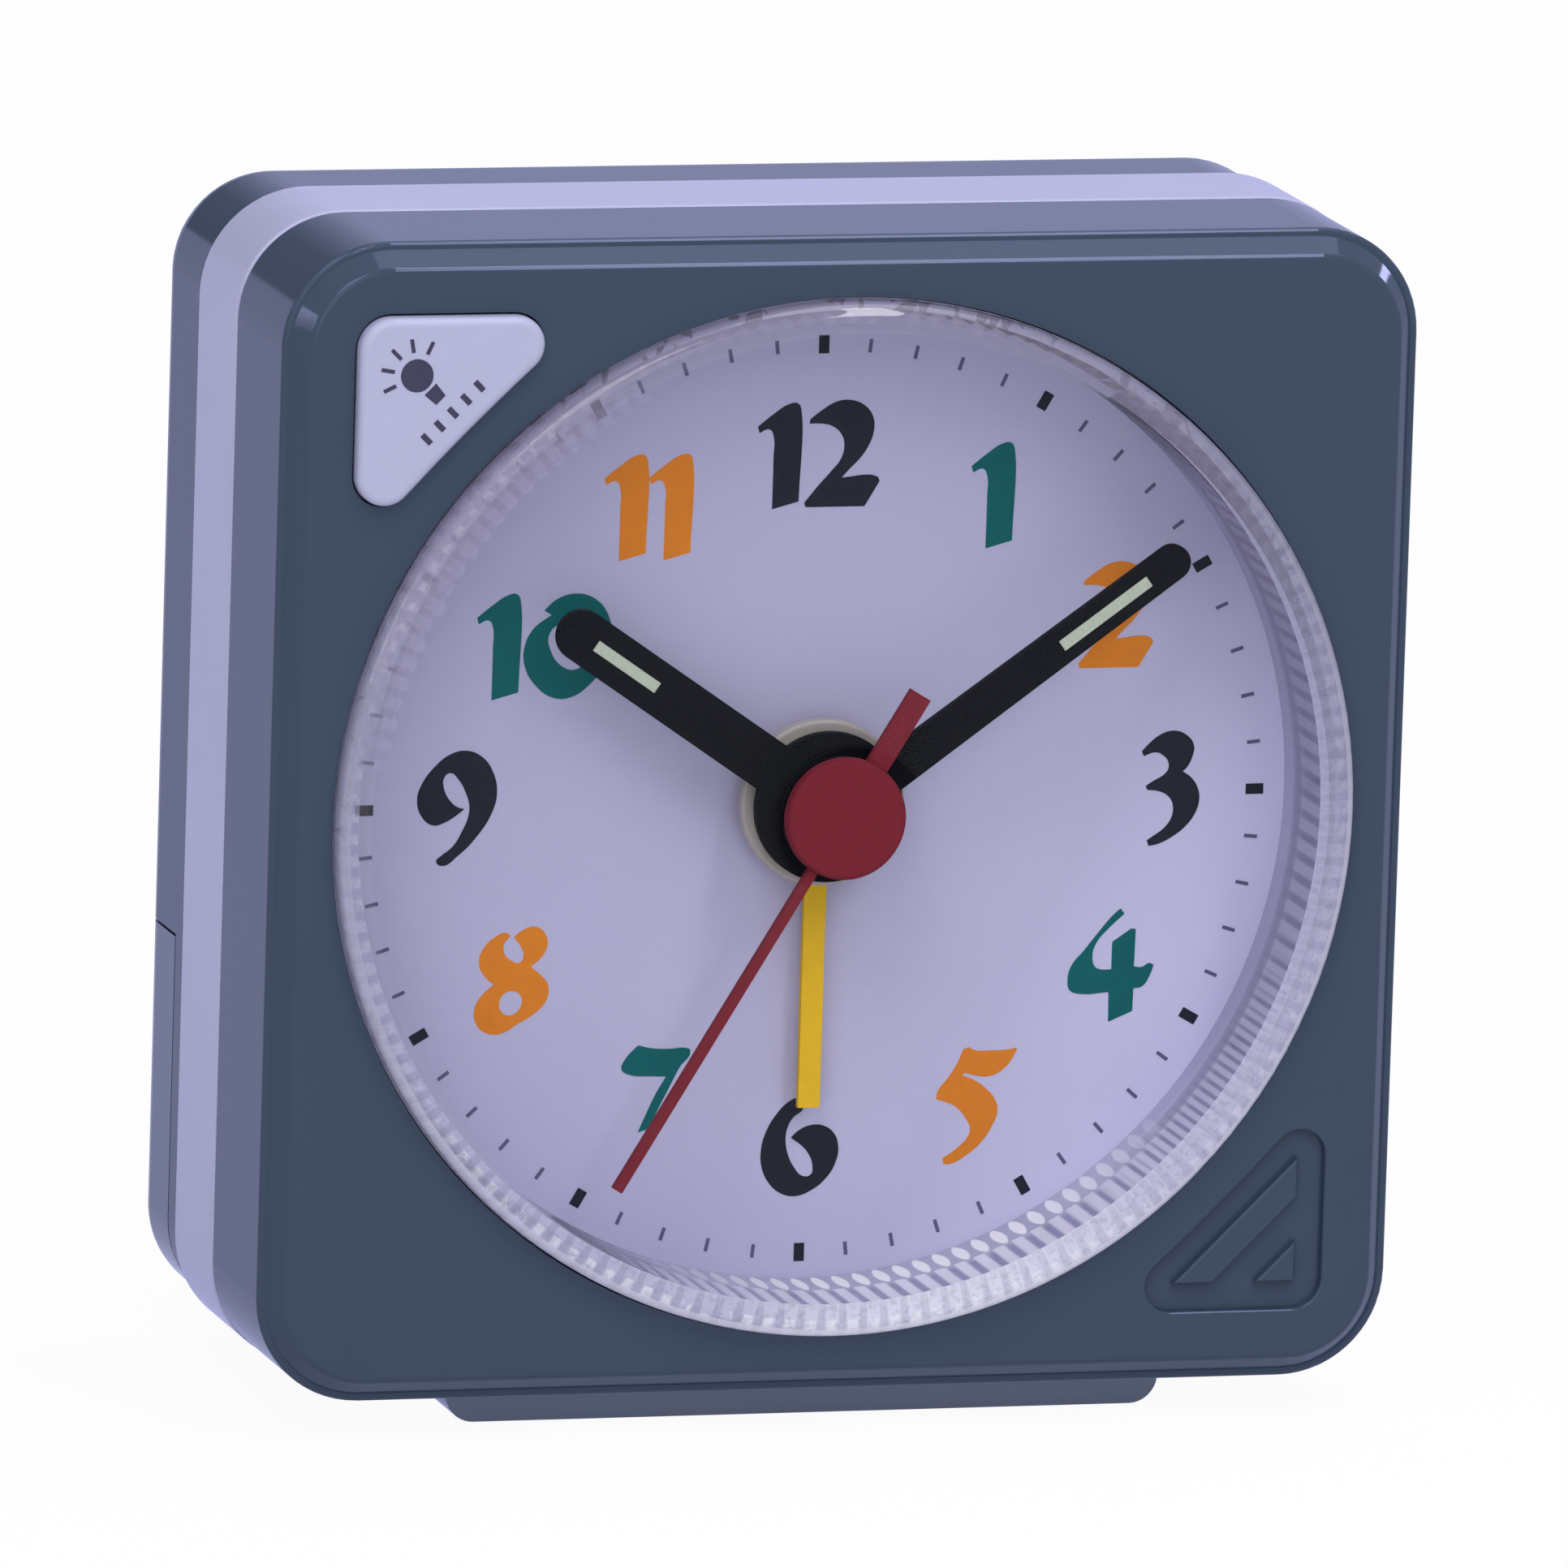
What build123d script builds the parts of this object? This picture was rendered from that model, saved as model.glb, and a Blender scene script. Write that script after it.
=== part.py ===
from build123d import *
import math
import os

# Square pendulette alarm clock with a quartz movement, one AA cell and a push button on its face.
# Millimetres. +X is to the right of someone who faces the dial, +Y runs to the back, +Z is up.
# The origin is the middle of the foot's resting face. Depths are measured back from the flat face
# of the bezel, and "x" and "up" are measured from the dial's axis.

os.makedirs("parts", exist_ok=True)

# Case: three shells behind one another. Sizes across the face follow its width, so they are given
# for a case 60 mm wide and multiplied by the face unit.
CASE_WIDTH = 60.0
FACE_UNIT = CASE_WIDTH / 60
CASE_CORNER = 5.5 * FACE_UNIT
BEZEL_DEPTH = 10.6
RING_DEPTH = 7.8
RING_PROUD = 0.05
REAR_INSET = 0.35
WALL = 1.6
RING_WALL = 1.95
FACE_THICK = 2.0
LEDGE_WIDTH = 0.4
FACE_RISE = 1.15
FACE_SLOPE = 0.85
FACE_ROUND = 0.4
EDGE_ROUND = 0.25
REAR_ROUND = 2.8

# Seams between the shells
SEAM_LAP = 1.3
SEAM_GAP = 0.1
LAP_WALL = 0.8
SNAP_LENGTH = 10.0
SNAP_HEIGHT = 0.35
SNAP_DEPTH = 0.5

# Foot
FOOT_WIDTH = 38.0 * FACE_UNIT
FOOT_LENGTH = 20.8
FOOT_DROP = 1.95
FOOT_SETBACK = 4.6
FOOT_ROUND = 1.5
PEG_RADIUS = 1.5
PEG_SPACING = 24.0 * FACE_UNIT

# Button and its matching ornament, in opposite corners of the face
CORNER_REACH = 26.25 * FACE_UNIT
BUTTON_LEG = 11.6 * FACE_UNIT
BUTTON_TIP_ROUND = 1.35 * FACE_UNIT
BUTTON_CORNER_ROUND = 1.6 * FACE_UNIT
BUTTON_HOLLOW = 0.3
BUTTON_PROUD = 0.8
BUTTON_TRAVEL = 0.8
BUTTON_GAP = 0.25
BUTTON_FLANGE = 0.7
BUTTON_FLANGE_THICK = 0.8
BUTTON_EDGE = 0.45
STEM_RADIUS = 1.2
POCKET_DEPTH = 0.5
POCKET_ROUND = 0.15
LAND_INSET = 1.45 * FACE_UNIT
LAND_LEGS = (6.5 * FACE_UNIT, 4.4 * FACE_UNIT, 2.1 * FACE_UNIT)

# Lens, dial and tray
LENS_RADIUS = 26.87 * FACE_UNIT
LENS_HAND_GAP = 0.4
LENS_DOME = 0.5
LENS_THICK = 1.0
LENS_ROUND = 0.9
LENS_RIM = 1.85
SKIRT_BORE = 25.3 * FACE_UNIT
FLUTE_COUNT = 146
FLUTE_CREST = 26.2 * FACE_UNIT
FLUTE_DEPTH = 0.35
BORE_RADIUS = 27.0 * FACE_UNIT
DIAL_DEPTH = 6.4
DIAL_THICK = 0.4
TRAY_FLOOR = 1.0
TRAY_FLANGE = 1.0
TRAY_FLANGE_REACH = 0.9

# General fits
FIT_GAP = 0.1
RUN_GAP = 0.06

# Hands: angles clockwise from twelve, reach from the axis, front face above the dial
HOUR_ANGLE = 304.5
HOUR_REACH = 17.5 * FACE_UNIT
HOUR_WIDTH = 2.7
HOUR_HUB = 3.9
HOUR_HEIGHT = 3.4
MINUTE_ANGLE = 54.0
MINUTE_REACH = 22.5 * FACE_UNIT
MINUTE_WIDTH = 2.1
MINUTE_TIP_WIDTH = 1.85
MINUTE_HUB = 2.9
MINUTE_HEIGHT = 5.0
HAND_THICK = 0.5
LUME_WIDTH = 0.6
LUME_SINK = 0.15
LUME_THICK = 0.2
HOUR_LUME = (11.3 * FACE_UNIT, 15.3 * FACE_UNIT)
MINUTE_LUME = (14.4 * FACE_UNIT, 20.0 * FACE_UNIT)
SECOND_ANGLE = 211.0
SECOND_REACH = 22.3 * FACE_UNIT
SECOND_TAIL = 7.4 * FACE_UNIT
SECOND_WIDTH = 0.55
TAIL_WIDTH = 1.2
SECOND_HUB = 3.15
SECOND_HEIGHT = 6.9
SECOND_HUB_THICK = 0.8
SECOND_THICK = 0.4
ALARM_ANGLE = 180.0
ALARM_REACH = 16.1 * FACE_UNIT
ALARM_WIDTH = 1.15
ALARM_HUB = 3.4
ALARM_HEIGHT = 1.3
ALARM_THICK = 0.4
COLLET_RADIUS = 4.35
COLLET_HEIGHT = 2.2
COLLET_THICK = 0.7

# Pipes nested on the dial axis: outer radii, each with a running gap to the next
SECOND_ARBOR = 0.45
CANNON_PIPE = 1.0
HOUR_PIPE = 1.6
ALARM_PIPE = 2.3
BUSHING = 2.95

# Movement
CHASSIS_THICK = 1.1
CHASSIS_GAP = 0.5
LAYER_THICK = 0.8
LAYER_GAP = 0.3
MOTOR_ROOM = 2.7
PLATE_THICK = 1.2
PLATE_TOP = 24.8 * FACE_UNIT
PLATE_GAP = 0.4
PILLAR_RADIUS = 1.7
PILLAR_X = 19.0 * FACE_UNIT
PILLAR_MARGIN = 2.4
PIVOT = 0.35

# Teeth: shares of the module and of the tooth step
ADDENDUM = 0.8
DEDENDUM = 1.1
ROOT_SHARE = 0.48
TIP_SHARE = 0.20

# Train: pinion and wheel teeth, modules and bearings
ROTOR_PINION, INTERMEDIATE_TEETH = 8, 48
INTERMEDIATE_PINION, SECOND_TEETH = 8, 40
SECOND_PINION, THIRD_TEETH = 6, 45
THIRD_PINION, CENTRE_TEETH = 6, 48
CANNON_TEETH, MINUTE_TEETH = 8, 24
MINUTE_PINION, HOUR_TEETH = 7, 28
ALARM_PINION, ALARM_TEETH = 10, 30
ROTOR_MODULE = 0.25 * FACE_UNIT
FAST_MODULE = 0.30 * FACE_UNIT
SECOND_MODULE = 0.30 * FACE_UNIT
MOTION_MODULE = 0.50 * FACE_UNIT
ALARM_MODULE = 0.40 * FACE_UNIT
THIRD_BEARING = 62.0
INTERMEDIATE_BEARING = 122.0
ROTOR_BEARING = 60.0
MINUTE_BEARING = 180.0
ALARM_BEARING = 0.0
INTERMEDIATE_PIN = 0.4
THIRD_ARBOR = 0.45
MINUTE_ARBOR = 0.6
ALARM_ARBOR = 0.7

# Motor
MAGNET_RADIUS = 2.5
MAGNET_GAP = 0.4
STATOR_THICK = 1.2
STATOR_REACH = 12.5
STATOR_YOKE = 4.0
STATOR_RIM = 1.0
COIL_DEPTH = 2.6
COIL_HEIGHT = 5.0
COIL_LENGTH = 16.0
CORE_HEIGHT = 2.4

# Setting knobs and alarm switch on the back
KNOB_RADIUS = 5.2 * FACE_UNIT
KNOB_THICK = 3.0
KNOB_FLUTES = 30
KNOB_FLUTE = 0.35
KNOB_EDGE = 0.4
WELL_RADIUS = 6.2 * FACE_UNIT
WELL_DEPTH = 0.5
KNOB_LIFT = 0.3
ARBOR_HOLE = 1.3
SWITCH_X = 11.5 * FACE_UNIT
SWITCH_UP = 16.0 * FACE_UNIT
SWITCH_TRAVEL = 3.0
SWITCH_STEM = (4.6, 3.0)
SWITCH_FLANGE = (11.0, 6.4)
SWITCH_FLANGE_THICK = 1.0
SWITCH_PROUD = 1.0
RAIL_THICK = 0.9

# Electronics
BOARD_GAP = 1.4
BOARD_HEIGHT = 12.0 * FACE_UNIT
BOARD_UP = 16.8 * FACE_UNIT
BOARD_THICK = 1.0
BOARD_ROOM = 4.0
CHIP_RADIUS = 3.0
CHIP_HEIGHT = 0.9
CRYSTAL_RADIUS = 1.0
CRYSTAL_LENGTH = 6.2
BUZZER_X = -11.5 * FACE_UNIT
BUZZER_UP = 16.4 * FACE_UNIT
BUZZER_RADIUS = 8.0 * FACE_UNIT
BUZZER_THICK = 0.25
CERAMIC_RADIUS = 5.6 * FACE_UNIT
BUZZER_RIM = 0.8
BUZZER_LEDGE = 0.6
SLOT_COUNT = 5
SLOT_PITCH = 2.2 * FACE_UNIT
SLOT_WIDTH = 0.9
SLOT_LENGTH = 8.0 * FACE_UNIT

# Battery bay and door
CELL_RADIUS = 7.25 * FACE_UNIT
NUB_RADIUS = 2.75 * FACE_UNIT
NUB_LENGTH = 1.0
CELL_ROOM = 0.55
BAY_WALL = 0.9
BAY_GAP = 0.6
BAY_CLEAR = 0.95
BAY_DROP = 0.15
SIDE_GAP = 0.2
SADDLE_X = 14.0 * FACE_UNIT
SADDLE_THICK = 2.0
CONTACT_THICK = 0.4
CONTACT_WIDTH = 9.0
CONTACT_HEIGHT = 12.0 * FACE_UNIT
DOOR_TOP = -9.5 * FACE_UNIT
DOOR_SETBACK = 2.8
DOOR_GAP = 0.15
SHELF_THICK = 1.1
WEB_THICK = 0.45
TONGUE_HEIGHT = 6.0
TONGUE_LENGTH = 4.5
TONGUE_THICK = 0.8
GRIP_COUNT = 5
GRIP_PITCH = 1.6
GRIP_WIDTH = 14.0 * FACE_UNIT
GRIP_CUT = 0.4

# Screws
SCREW_RADIUS = 0.8
SCREW_HEAD = 1.6
SCREW_HEAD_THICK = 0.8
SCREW_HOLE_GAP = 0.05
BOSS_RADIUS = 2.3
CHASSIS_SCREW_REACH = 25.2 * FACE_UNIT
CHASSIS_SCREW_LENGTH = 2.6
POST_REACH = 23.1 * FACE_UNIT
BUTTON_POST_START = 5.0
PLATE_SCREW_LENGTH = 4.0
CASE_SCREW_CORNER = 24.8 * FACE_UNIT
CASE_SCREW_SIDE_X = 25.3 * FACE_UNIT
CASE_SCREW_SEAT = 1.6
CASE_SCREW_LENGTH = 7.5
RING_POST_LENGTH = 7.4

# Snooze contact and dial lamp
CONTACT_RISE = 2.5
CONTACT_LEAF = 0.3
CONTACT_DOME = 1.4
LAMP_RADIUS = 1.3
LAMP_GAP = 0.25
LAMP_DEPTH = 5.2

# Depths and half widths that follow from the sizes above
FACE_Y = -FOOT_SETBACK - FOOT_LENGTH / 2
AXIS_Z = FOOT_DROP + RING_PROUD + CASE_WIDTH / 2
BEZEL_END = BEZEL_DEPTH
RING_END = BEZEL_END + RING_DEPTH
BEZEL_HALF = CASE_WIDTH / 2
RING_HALF = BEZEL_HALF + RING_PROUD
REAR_HALF = BEZEL_HALF - REAR_INSET
BEZEL_ROOM = BEZEL_HALF - WALL
RING_ROOM = RING_HALF - RING_WALL
REAR_ROOM = REAR_HALF - WALL
FRONT_TONGUE = BEZEL_HALF - LAP_WALL - SEAM_GAP
REAR_TONGUE = REAR_HALF - LAP_WALL - SEAM_GAP
LENS_PROUD = SECOND_HEIGHT + LENS_HAND_GAP + LENS_THICK - DIAL_DEPTH
LENS_SEAT = LENS_DOME - LENS_PROUD + LENS_RIM
TRAY_RADIUS = BORE_RADIUS - FIT_GAP
TRAY_BORE = FLUTE_CREST + FIT_GAP
TRAY_BACK = DIAL_DEPTH + DIAL_THICK + TRAY_FLOOR
CHASSIS_FRONT = TRAY_BACK
CHASSIS_BACK = CHASSIS_FRONT + CHASSIS_THICK
CHASSIS_HALF = RING_ROOM - CHASSIS_GAP
LAYER_STEP = LAYER_THICK + LAYER_GAP
ALARM_LAYER, HOUR_LAYER, MINUTE_LAYER, CENTRE_LAYER, THIRD_LAYER, SECOND_LAYER, FAST_LAYER = [
    CHASSIS_BACK + LAYER_GAP + k * LAYER_STEP for k in range(7)
]
MOTOR_FRONT = FAST_LAYER + LAYER_STEP
PLATE_FRONT = MOTOR_FRONT + MOTOR_ROOM
PLATE_BACK = PLATE_FRONT + PLATE_THICK
PLATE_HALF_WIDTH = PILLAR_X + PILLAR_MARGIN
PLATE_BOTTOM = DOOR_TOP + SHELF_THICK + PLATE_GAP
BOARD_BACK = PLATE_BACK + BOARD_THICK
BOARD_WIDTH = 2 * (PILLAR_X - SCREW_HEAD - BOARD_GAP)
DOOR_FRONT = RING_END + DOOR_SETBACK
BAY_FRONT = CHASSIS_BACK + BAY_CLEAR + BAY_WALL
CELL_DEPTH = BAY_FRONT + BAY_GAP + CELL_RADIUS
BAY_BOTTOM = BAY_DROP + BAY_WALL - RING_ROOM
CELL_UP = BAY_BOTTOM + BAY_GAP + CELL_RADIUS
BAY_HALF = REAR_ROOM - SIDE_GAP - TONGUE_THICK - DOOR_GAP - BAY_WALL
CELL_LENGTH = 2 * (BAY_HALF - 2 * CONTACT_THICK - FIT_GAP) - NUB_LENGTH
REAR_WALL = max(CELL_DEPTH + CELL_RADIUS + CELL_ROOM, BOARD_BACK + BOARD_ROOM)
REAR_END = REAR_WALL + WALL
WELL_FLOOR = REAR_END - WELL_DEPTH
KNOB_FRONT = WELL_FLOOR + KNOB_LIFT
KNOB_BACK = KNOB_FRONT + KNOB_THICK
CENTRE_DISTANCE_THIRD = SECOND_MODULE * (SECOND_PINION + THIRD_TEETH) / 2
CENTRE_MODULE = 2 * CENTRE_DISTANCE_THIRD / (THIRD_PINION + CENTRE_TEETH)
CENTRE_DISTANCE_FAST = FAST_MODULE * (INTERMEDIATE_PINION + SECOND_TEETH) / 2
CENTRE_DISTANCE_ROTOR = ROTOR_MODULE * (ROTOR_PINION + INTERMEDIATE_TEETH) / 2
CENTRE_DISTANCE_MINUTE = MOTION_MODULE * (CANNON_TEETH + MINUTE_TEETH) / 2
HOUR_MODULE = 2 * CENTRE_DISTANCE_MINUTE / (MINUTE_PINION + HOUR_TEETH)
CENTRE_DISTANCE_ALARM = ALARM_MODULE * (ALARM_PINION + ALARM_TEETH) / 2


def polar(distance, bearing):
    """Point at a distance and a bearing (degrees from +X towards +Z)."""
    angle = math.radians(bearing)
    return distance * math.cos(angle), distance * math.sin(angle)


THIRD_AT = polar(CENTRE_DISTANCE_THIRD, THIRD_BEARING)
INTERMEDIATE_AT = polar(CENTRE_DISTANCE_FAST, INTERMEDIATE_BEARING)
ROTOR_STEP = polar(CENTRE_DISTANCE_ROTOR, ROTOR_BEARING)
ROTOR_AT = (INTERMEDIATE_AT[0] + ROTOR_STEP[0], INTERMEDIATE_AT[1] + ROTOR_STEP[1])
MINUTE_AT = polar(CENTRE_DISTANCE_MINUTE, MINUTE_BEARING)
ALARM_AT = polar(CENTRE_DISTANCE_ALARM, ALARM_BEARING)
PILLAR_UPS = (PLATE_BOTTOM + PILLAR_MARGIN, PLATE_TOP - PILLAR_MARGIN)
PILLARS = [(side * PILLAR_X, up) for side in (-1, 1) for up in PILLAR_UPS]
CHASSIS_SCREWS = [(x * CHASSIS_SCREW_REACH, up * CHASSIS_SCREW_REACH) for x in (-1, 1) for up in (-1, 1)]
CASE_SCREW_SIDE = (CASE_SCREW_SIDE_X, DOOR_TOP + SHELF_THICK + BOSS_RADIUS + SIDE_GAP)
CASE_SCREWS = [
    (-CASE_SCREW_CORNER, CASE_SCREW_CORNER),
    (CASE_SCREW_CORNER, CASE_SCREW_CORNER),
    (-CASE_SCREW_SIDE[0], CASE_SCREW_SIDE[1]),
    CASE_SCREW_SIDE,
]
CASE_SEAT = RING_END + CASE_SCREW_SEAT
BUTTON_MIDDLE = CORNER_REACH - BUTTON_LEG / 3
BUTTON_AT = (-BUTTON_MIDDLE, BUTTON_MIDDLE)
LAMP_LENGTH = math.hypot(*BUTTON_AT) - CONTACT_DOME - LAMP_GAP - TRAY_RADIUS - FIT_GAP


def facing(depth, x=0.0, up=0.0, turn=0.0):
    """Plane square to the dial axis, seen from the front, its local y turned clockwise from +Z."""
    angle = math.radians(turn)
    place = (x, FACE_Y + depth, AXIS_Z + up)
    return Plane(origin=place, x_dir=(math.cos(angle), 0, -math.sin(angle)), z_dir=(0, -1, 0))


def axial(x=0.0, up=0.0):
    """Plane through an arbor: local x is the radius and local y the depth."""
    return Plane(origin=(x, FACE_Y, AXIS_Z + up), x_dir=(1, 0, 0), z_dir=(0, 0, 1))


def crosswise(x, depth, up):
    """Plane square to X, its normal to the right: local x is the depth and local y is up."""
    return Plane(origin=(x, FACE_Y + depth, AXIS_Z + up), x_dir=(0, 1, 0), z_dir=(1, 0, 0))


def corner_at(half):
    """Corner radius of the rounded square of this half width, concentric with the case's."""
    return CASE_CORNER - BEZEL_HALF + half


def disc(radius, front, rear, at=(0.0, 0.0), mode=Mode.ADD):
    """Round slab between two depths."""
    with BuildSketch(facing(rear, *at)) as outline:
        Circle(radius)
    extrude(outline.sketch, amount=rear - front, mode=mode)


def block(width, height, front, rear, at=(0.0, 0.0), mode=Mode.ADD):
    """Rectangular slab between two depths."""
    with BuildSketch(facing(rear, *at)) as outline:
        Rectangle(width, height)
    extrude(outline.sketch, amount=rear - front, mode=mode)


def square(half, front, rear, mode=Mode.ADD):
    """Slab with the case's rounded square outline between two depths."""
    with BuildSketch(facing(rear)) as outline:
        RectangleRounded(2 * half, 2 * half, corner_at(half))
    extrude(outline.sketch, amount=rear - front, mode=mode)


def corner_slab(side, grow, front, rear, mode=Mode.ADD):
    """The button's three-cornered slab, grown all round; side -1 is upper left, 1 is lower right."""
    right = (side * CORNER_REACH, -side * CORNER_REACH)
    tip_across = (side * (CORNER_REACH - BUTTON_LEG), -side * CORNER_REACH)
    tip_along = (side * CORNER_REACH, -side * (CORNER_REACH - BUTTON_LEG))
    middle = CORNER_REACH - BUTTON_LEG / 2 + BUTTON_HOLLOW / math.sqrt(2)
    with BuildSketch(facing(rear)) as outline:
        with BuildLine():
            Line(tip_along, right)
            Line(right, tip_across)
            ThreePointArc(tip_across, (side * middle, -side * middle), tip_along)
        make_face()
        corners = outline.vertices().sort_by_distance(Vertex(*right))
        fillet(corners[1:], BUTTON_TIP_ROUND)
        fillet(outline.vertices().sort_by_distance(Vertex(*right))[0], BUTTON_CORNER_ROUND)
        if grow:
            offset(amount=grow)
    extrude(outline.sketch, amount=rear - front, mode=mode)


def wheel(teeth, module, phase, front, at=(0.0, 0.0)):
    """One layer of teeth with straight flanks; phase is the bearing of a tooth."""
    pitch = teeth * module / 2
    root, tip = pitch - DEDENDUM * module, pitch + ADDENDUM * module
    step = 360 / teeth
    corners = ((root, -ROOT_SHARE), (tip, -TIP_SHARE), (tip, TIP_SHARE), (root, ROOT_SHARE))
    points = [
        polar(radius, phase + (k + share / 2) * step)
        for k in range(teeth)
        for radius, share in corners
    ]
    with BuildSketch(facing(front + LAYER_THICK, *at)) as outline:
        with BuildLine():
            Polyline(*points, close=True)
        make_face()
    extrude(outline.sketch, amount=LAYER_THICK)


def meshing(bearing, teeth):
    """Phase of a wheel whose gap faces a pinion that lies at this bearing."""
    return bearing + 180 / teeth


# Front bezel: skirt, raised face with a sloped and rounded edge, bore, button hole and ornament
with BuildPart() as front_bezel:
    square(BEZEL_HALF, FACE_RISE, BEZEL_END)
    fillet(front_bezel.edges().group_by(Axis.Y)[0], EDGE_ROUND)
    fillet(front_bezel.edges().group_by(Axis.Y)[-1], EDGE_ROUND)
    ledge_half = BEZEL_HALF - LEDGE_WIDTH
    with BuildSketch(facing(FACE_RISE)):
        RectangleRounded(2 * ledge_half, 2 * ledge_half, corner_at(ledge_half))
    extrude(amount=FACE_RISE, taper=math.degrees(math.atan(FACE_SLOPE / FACE_RISE)))
    fillet(front_bezel.edges().group_by(Axis.Y)[0], FACE_ROUND)
    post_side = BEZEL_HALF - POST_REACH
    post_middle = POST_REACH + post_side / 2
    with BuildSketch(facing(CHASSIS_FRONT)):
        RectangleRounded(2 * BEZEL_ROOM, 2 * BEZEL_ROOM, corner_at(BEZEL_ROOM))
        with GridLocations(2 * post_middle, 2 * post_middle, 2, 2):
            Rectangle(post_side, post_side, mode=Mode.SUBTRACT)
    extrude(amount=CHASSIS_FRONT - FACE_THICK, mode=Mode.SUBTRACT)
    square(BEZEL_ROOM, CHASSIS_FRONT, BEZEL_END, Mode.SUBTRACT)
    square(BEZEL_HALF - LAP_WALL, BEZEL_END - SEAM_LAP - SEAM_GAP, BEZEL_END, Mode.SUBTRACT)
    snap_far = FRONT_TONGUE + SNAP_HEIGHT + SEAM_GAP
    snap_front = BEZEL_END - SEAM_LAP / 2 - SNAP_DEPTH / 2
    for turned in (False, True):
        long = SNAP_LENGTH + 2 * SEAM_GAP
        size = (2 * snap_far, long) if turned else (long, 2 * snap_far)
        block(*size, snap_front - SEAM_GAP, snap_front + SNAP_DEPTH + SEAM_GAP, mode=Mode.SUBTRACT)
    disc(BORE_RADIUS, 0, FACE_THICK, mode=Mode.SUBTRACT)
    corner_slab(-1, BUTTON_GAP, 0, FACE_THICK, Mode.SUBTRACT)
    corner_slab(-1, BUTTON_FLANGE + BUTTON_GAP, FACE_THICK, BUTTON_POST_START, Mode.SUBTRACT)
    disc(CONTACT_DOME + FIT_GAP, BUTTON_POST_START, CHASSIS_FRONT, BUTTON_AT, Mode.SUBTRACT)
    corner_slab(1, 0, 0, POCKET_DEPTH, Mode.SUBTRACT)
    land_right = CORNER_REACH - LAND_INSET
    for leg, mode in zip(LAND_LEGS, (Mode.ADD, Mode.SUBTRACT, Mode.ADD)):
        with BuildSketch(facing(POCKET_DEPTH)):
            with BuildLine():
                Polyline(
                    (land_right, -land_right),
                    (land_right, -land_right + leg),
                    (land_right - leg, -land_right),
                    close=True,
                )
            make_face()
        extrude(amount=POCKET_DEPTH, mode=mode)
    ornament_start = CORNER_REACH - BUTTON_LEG
    ornament_edges = [
        edge
        for edge in front_bezel.edges().group_by(Axis.Y)[0]
        if ornament_start < edge.center().X < CORNER_REACH + FIT_GAP
        and ornament_start < AXIS_Z - edge.center().Z < CORNER_REACH + FIT_GAP
    ]
    fillet(ornament_edges, POCKET_ROUND)
    for x, up in CHASSIS_SCREWS:
        hole_front = CHASSIS_FRONT - CHASSIS_SCREW_LENGTH - FIT_GAP
        disc(SCREW_RADIUS + SCREW_HOLE_GAP, hole_front, CHASSIS_FRONT, (x, up), Mode.SUBTRACT)
front_bezel.part.label = "front_bezel"
export_step(front_bezel.part, "parts/front_bezel.step")

# Middle ring: pale band with a tongue at each end, four screw posts and the foot's peg holes
with BuildPart() as middle_ring:
    square(RING_HALF, BEZEL_END, RING_END)
    fillet(middle_ring.edges().group_by(Axis.Y)[0], EDGE_ROUND)
    fillet(middle_ring.edges().group_by(Axis.Y)[-1], EDGE_ROUND)
    square(FRONT_TONGUE, BEZEL_END - SEAM_LAP, BEZEL_END)
    square(REAR_TONGUE, RING_END, RING_END + SEAM_LAP)
    for turned in (False, True):
        span = 2 * (FRONT_TONGUE + SNAP_HEIGHT)
        size = (span, SNAP_LENGTH) if turned else (SNAP_LENGTH, span)
        block(*size, snap_front, snap_front + SNAP_DEPTH)
    post_front = RING_END - RING_POST_LENGTH
    corner_inner = CASE_SCREW_CORNER - BOSS_RADIUS
    corner_side = RING_HALF - corner_inner
    side_inner = CASE_SCREW_SIDE[0] - BOSS_RADIUS
    side_length = RING_HALF - side_inner
    square(RING_ROOM, BEZEL_END - SEAM_LAP, post_front, Mode.SUBTRACT)
    square(RING_ROOM, RING_END, RING_END + SEAM_LAP, Mode.SUBTRACT)
    with BuildSketch(facing(RING_END)):
        RectangleRounded(2 * RING_ROOM, 2 * RING_ROOM, corner_at(RING_ROOM))
        for side in (-1, 1):
            with Locations((side * (corner_inner + corner_side / 2), corner_inner + corner_side / 2)):
                Rectangle(corner_side, corner_side, mode=Mode.SUBTRACT)
            with Locations((side * (side_inner + side_length / 2), CASE_SCREW_SIDE[1])):
                Rectangle(side_length, 2 * BOSS_RADIUS, mode=Mode.SUBTRACT)
    extrude(amount=RING_POST_LENGTH, mode=Mode.SUBTRACT)
    for x, up in CASE_SCREWS:
        hole_front = CASE_SEAT - CASE_SCREW_LENGTH - FIT_GAP
        disc(SCREW_RADIUS + SCREW_HOLE_GAP, hole_front, RING_END, (x, up), Mode.SUBTRACT)
    peg_y = FACE_Y + (BEZEL_END + RING_END) / 2
    with BuildSketch(Plane.XY.offset(FOOT_DROP - EDGE_ROUND)):
        with Locations((0, peg_y)):
            with GridLocations(PEG_SPACING, 1, 2, 1):
                Circle(PEG_RADIUS + FIT_GAP)
    extrude(amount=RING_WALL + 2 * EDGE_ROUND, mode=Mode.SUBTRACT)
middle_ring.part.label = "middle_ring"
export_step(middle_ring.part, "parts/middle_ring.step")


def rear_shell(shell, front):
    """Outer block of the rear shell with its rounded back edge, hollowed to the wall."""
    square(REAR_HALF, front, REAR_END)
    fillet(shell.edges().group_by(Axis.Y)[-1], REAR_ROUND)
    square(REAR_ROOM, front, REAR_WALL, Mode.SUBTRACT)


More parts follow.
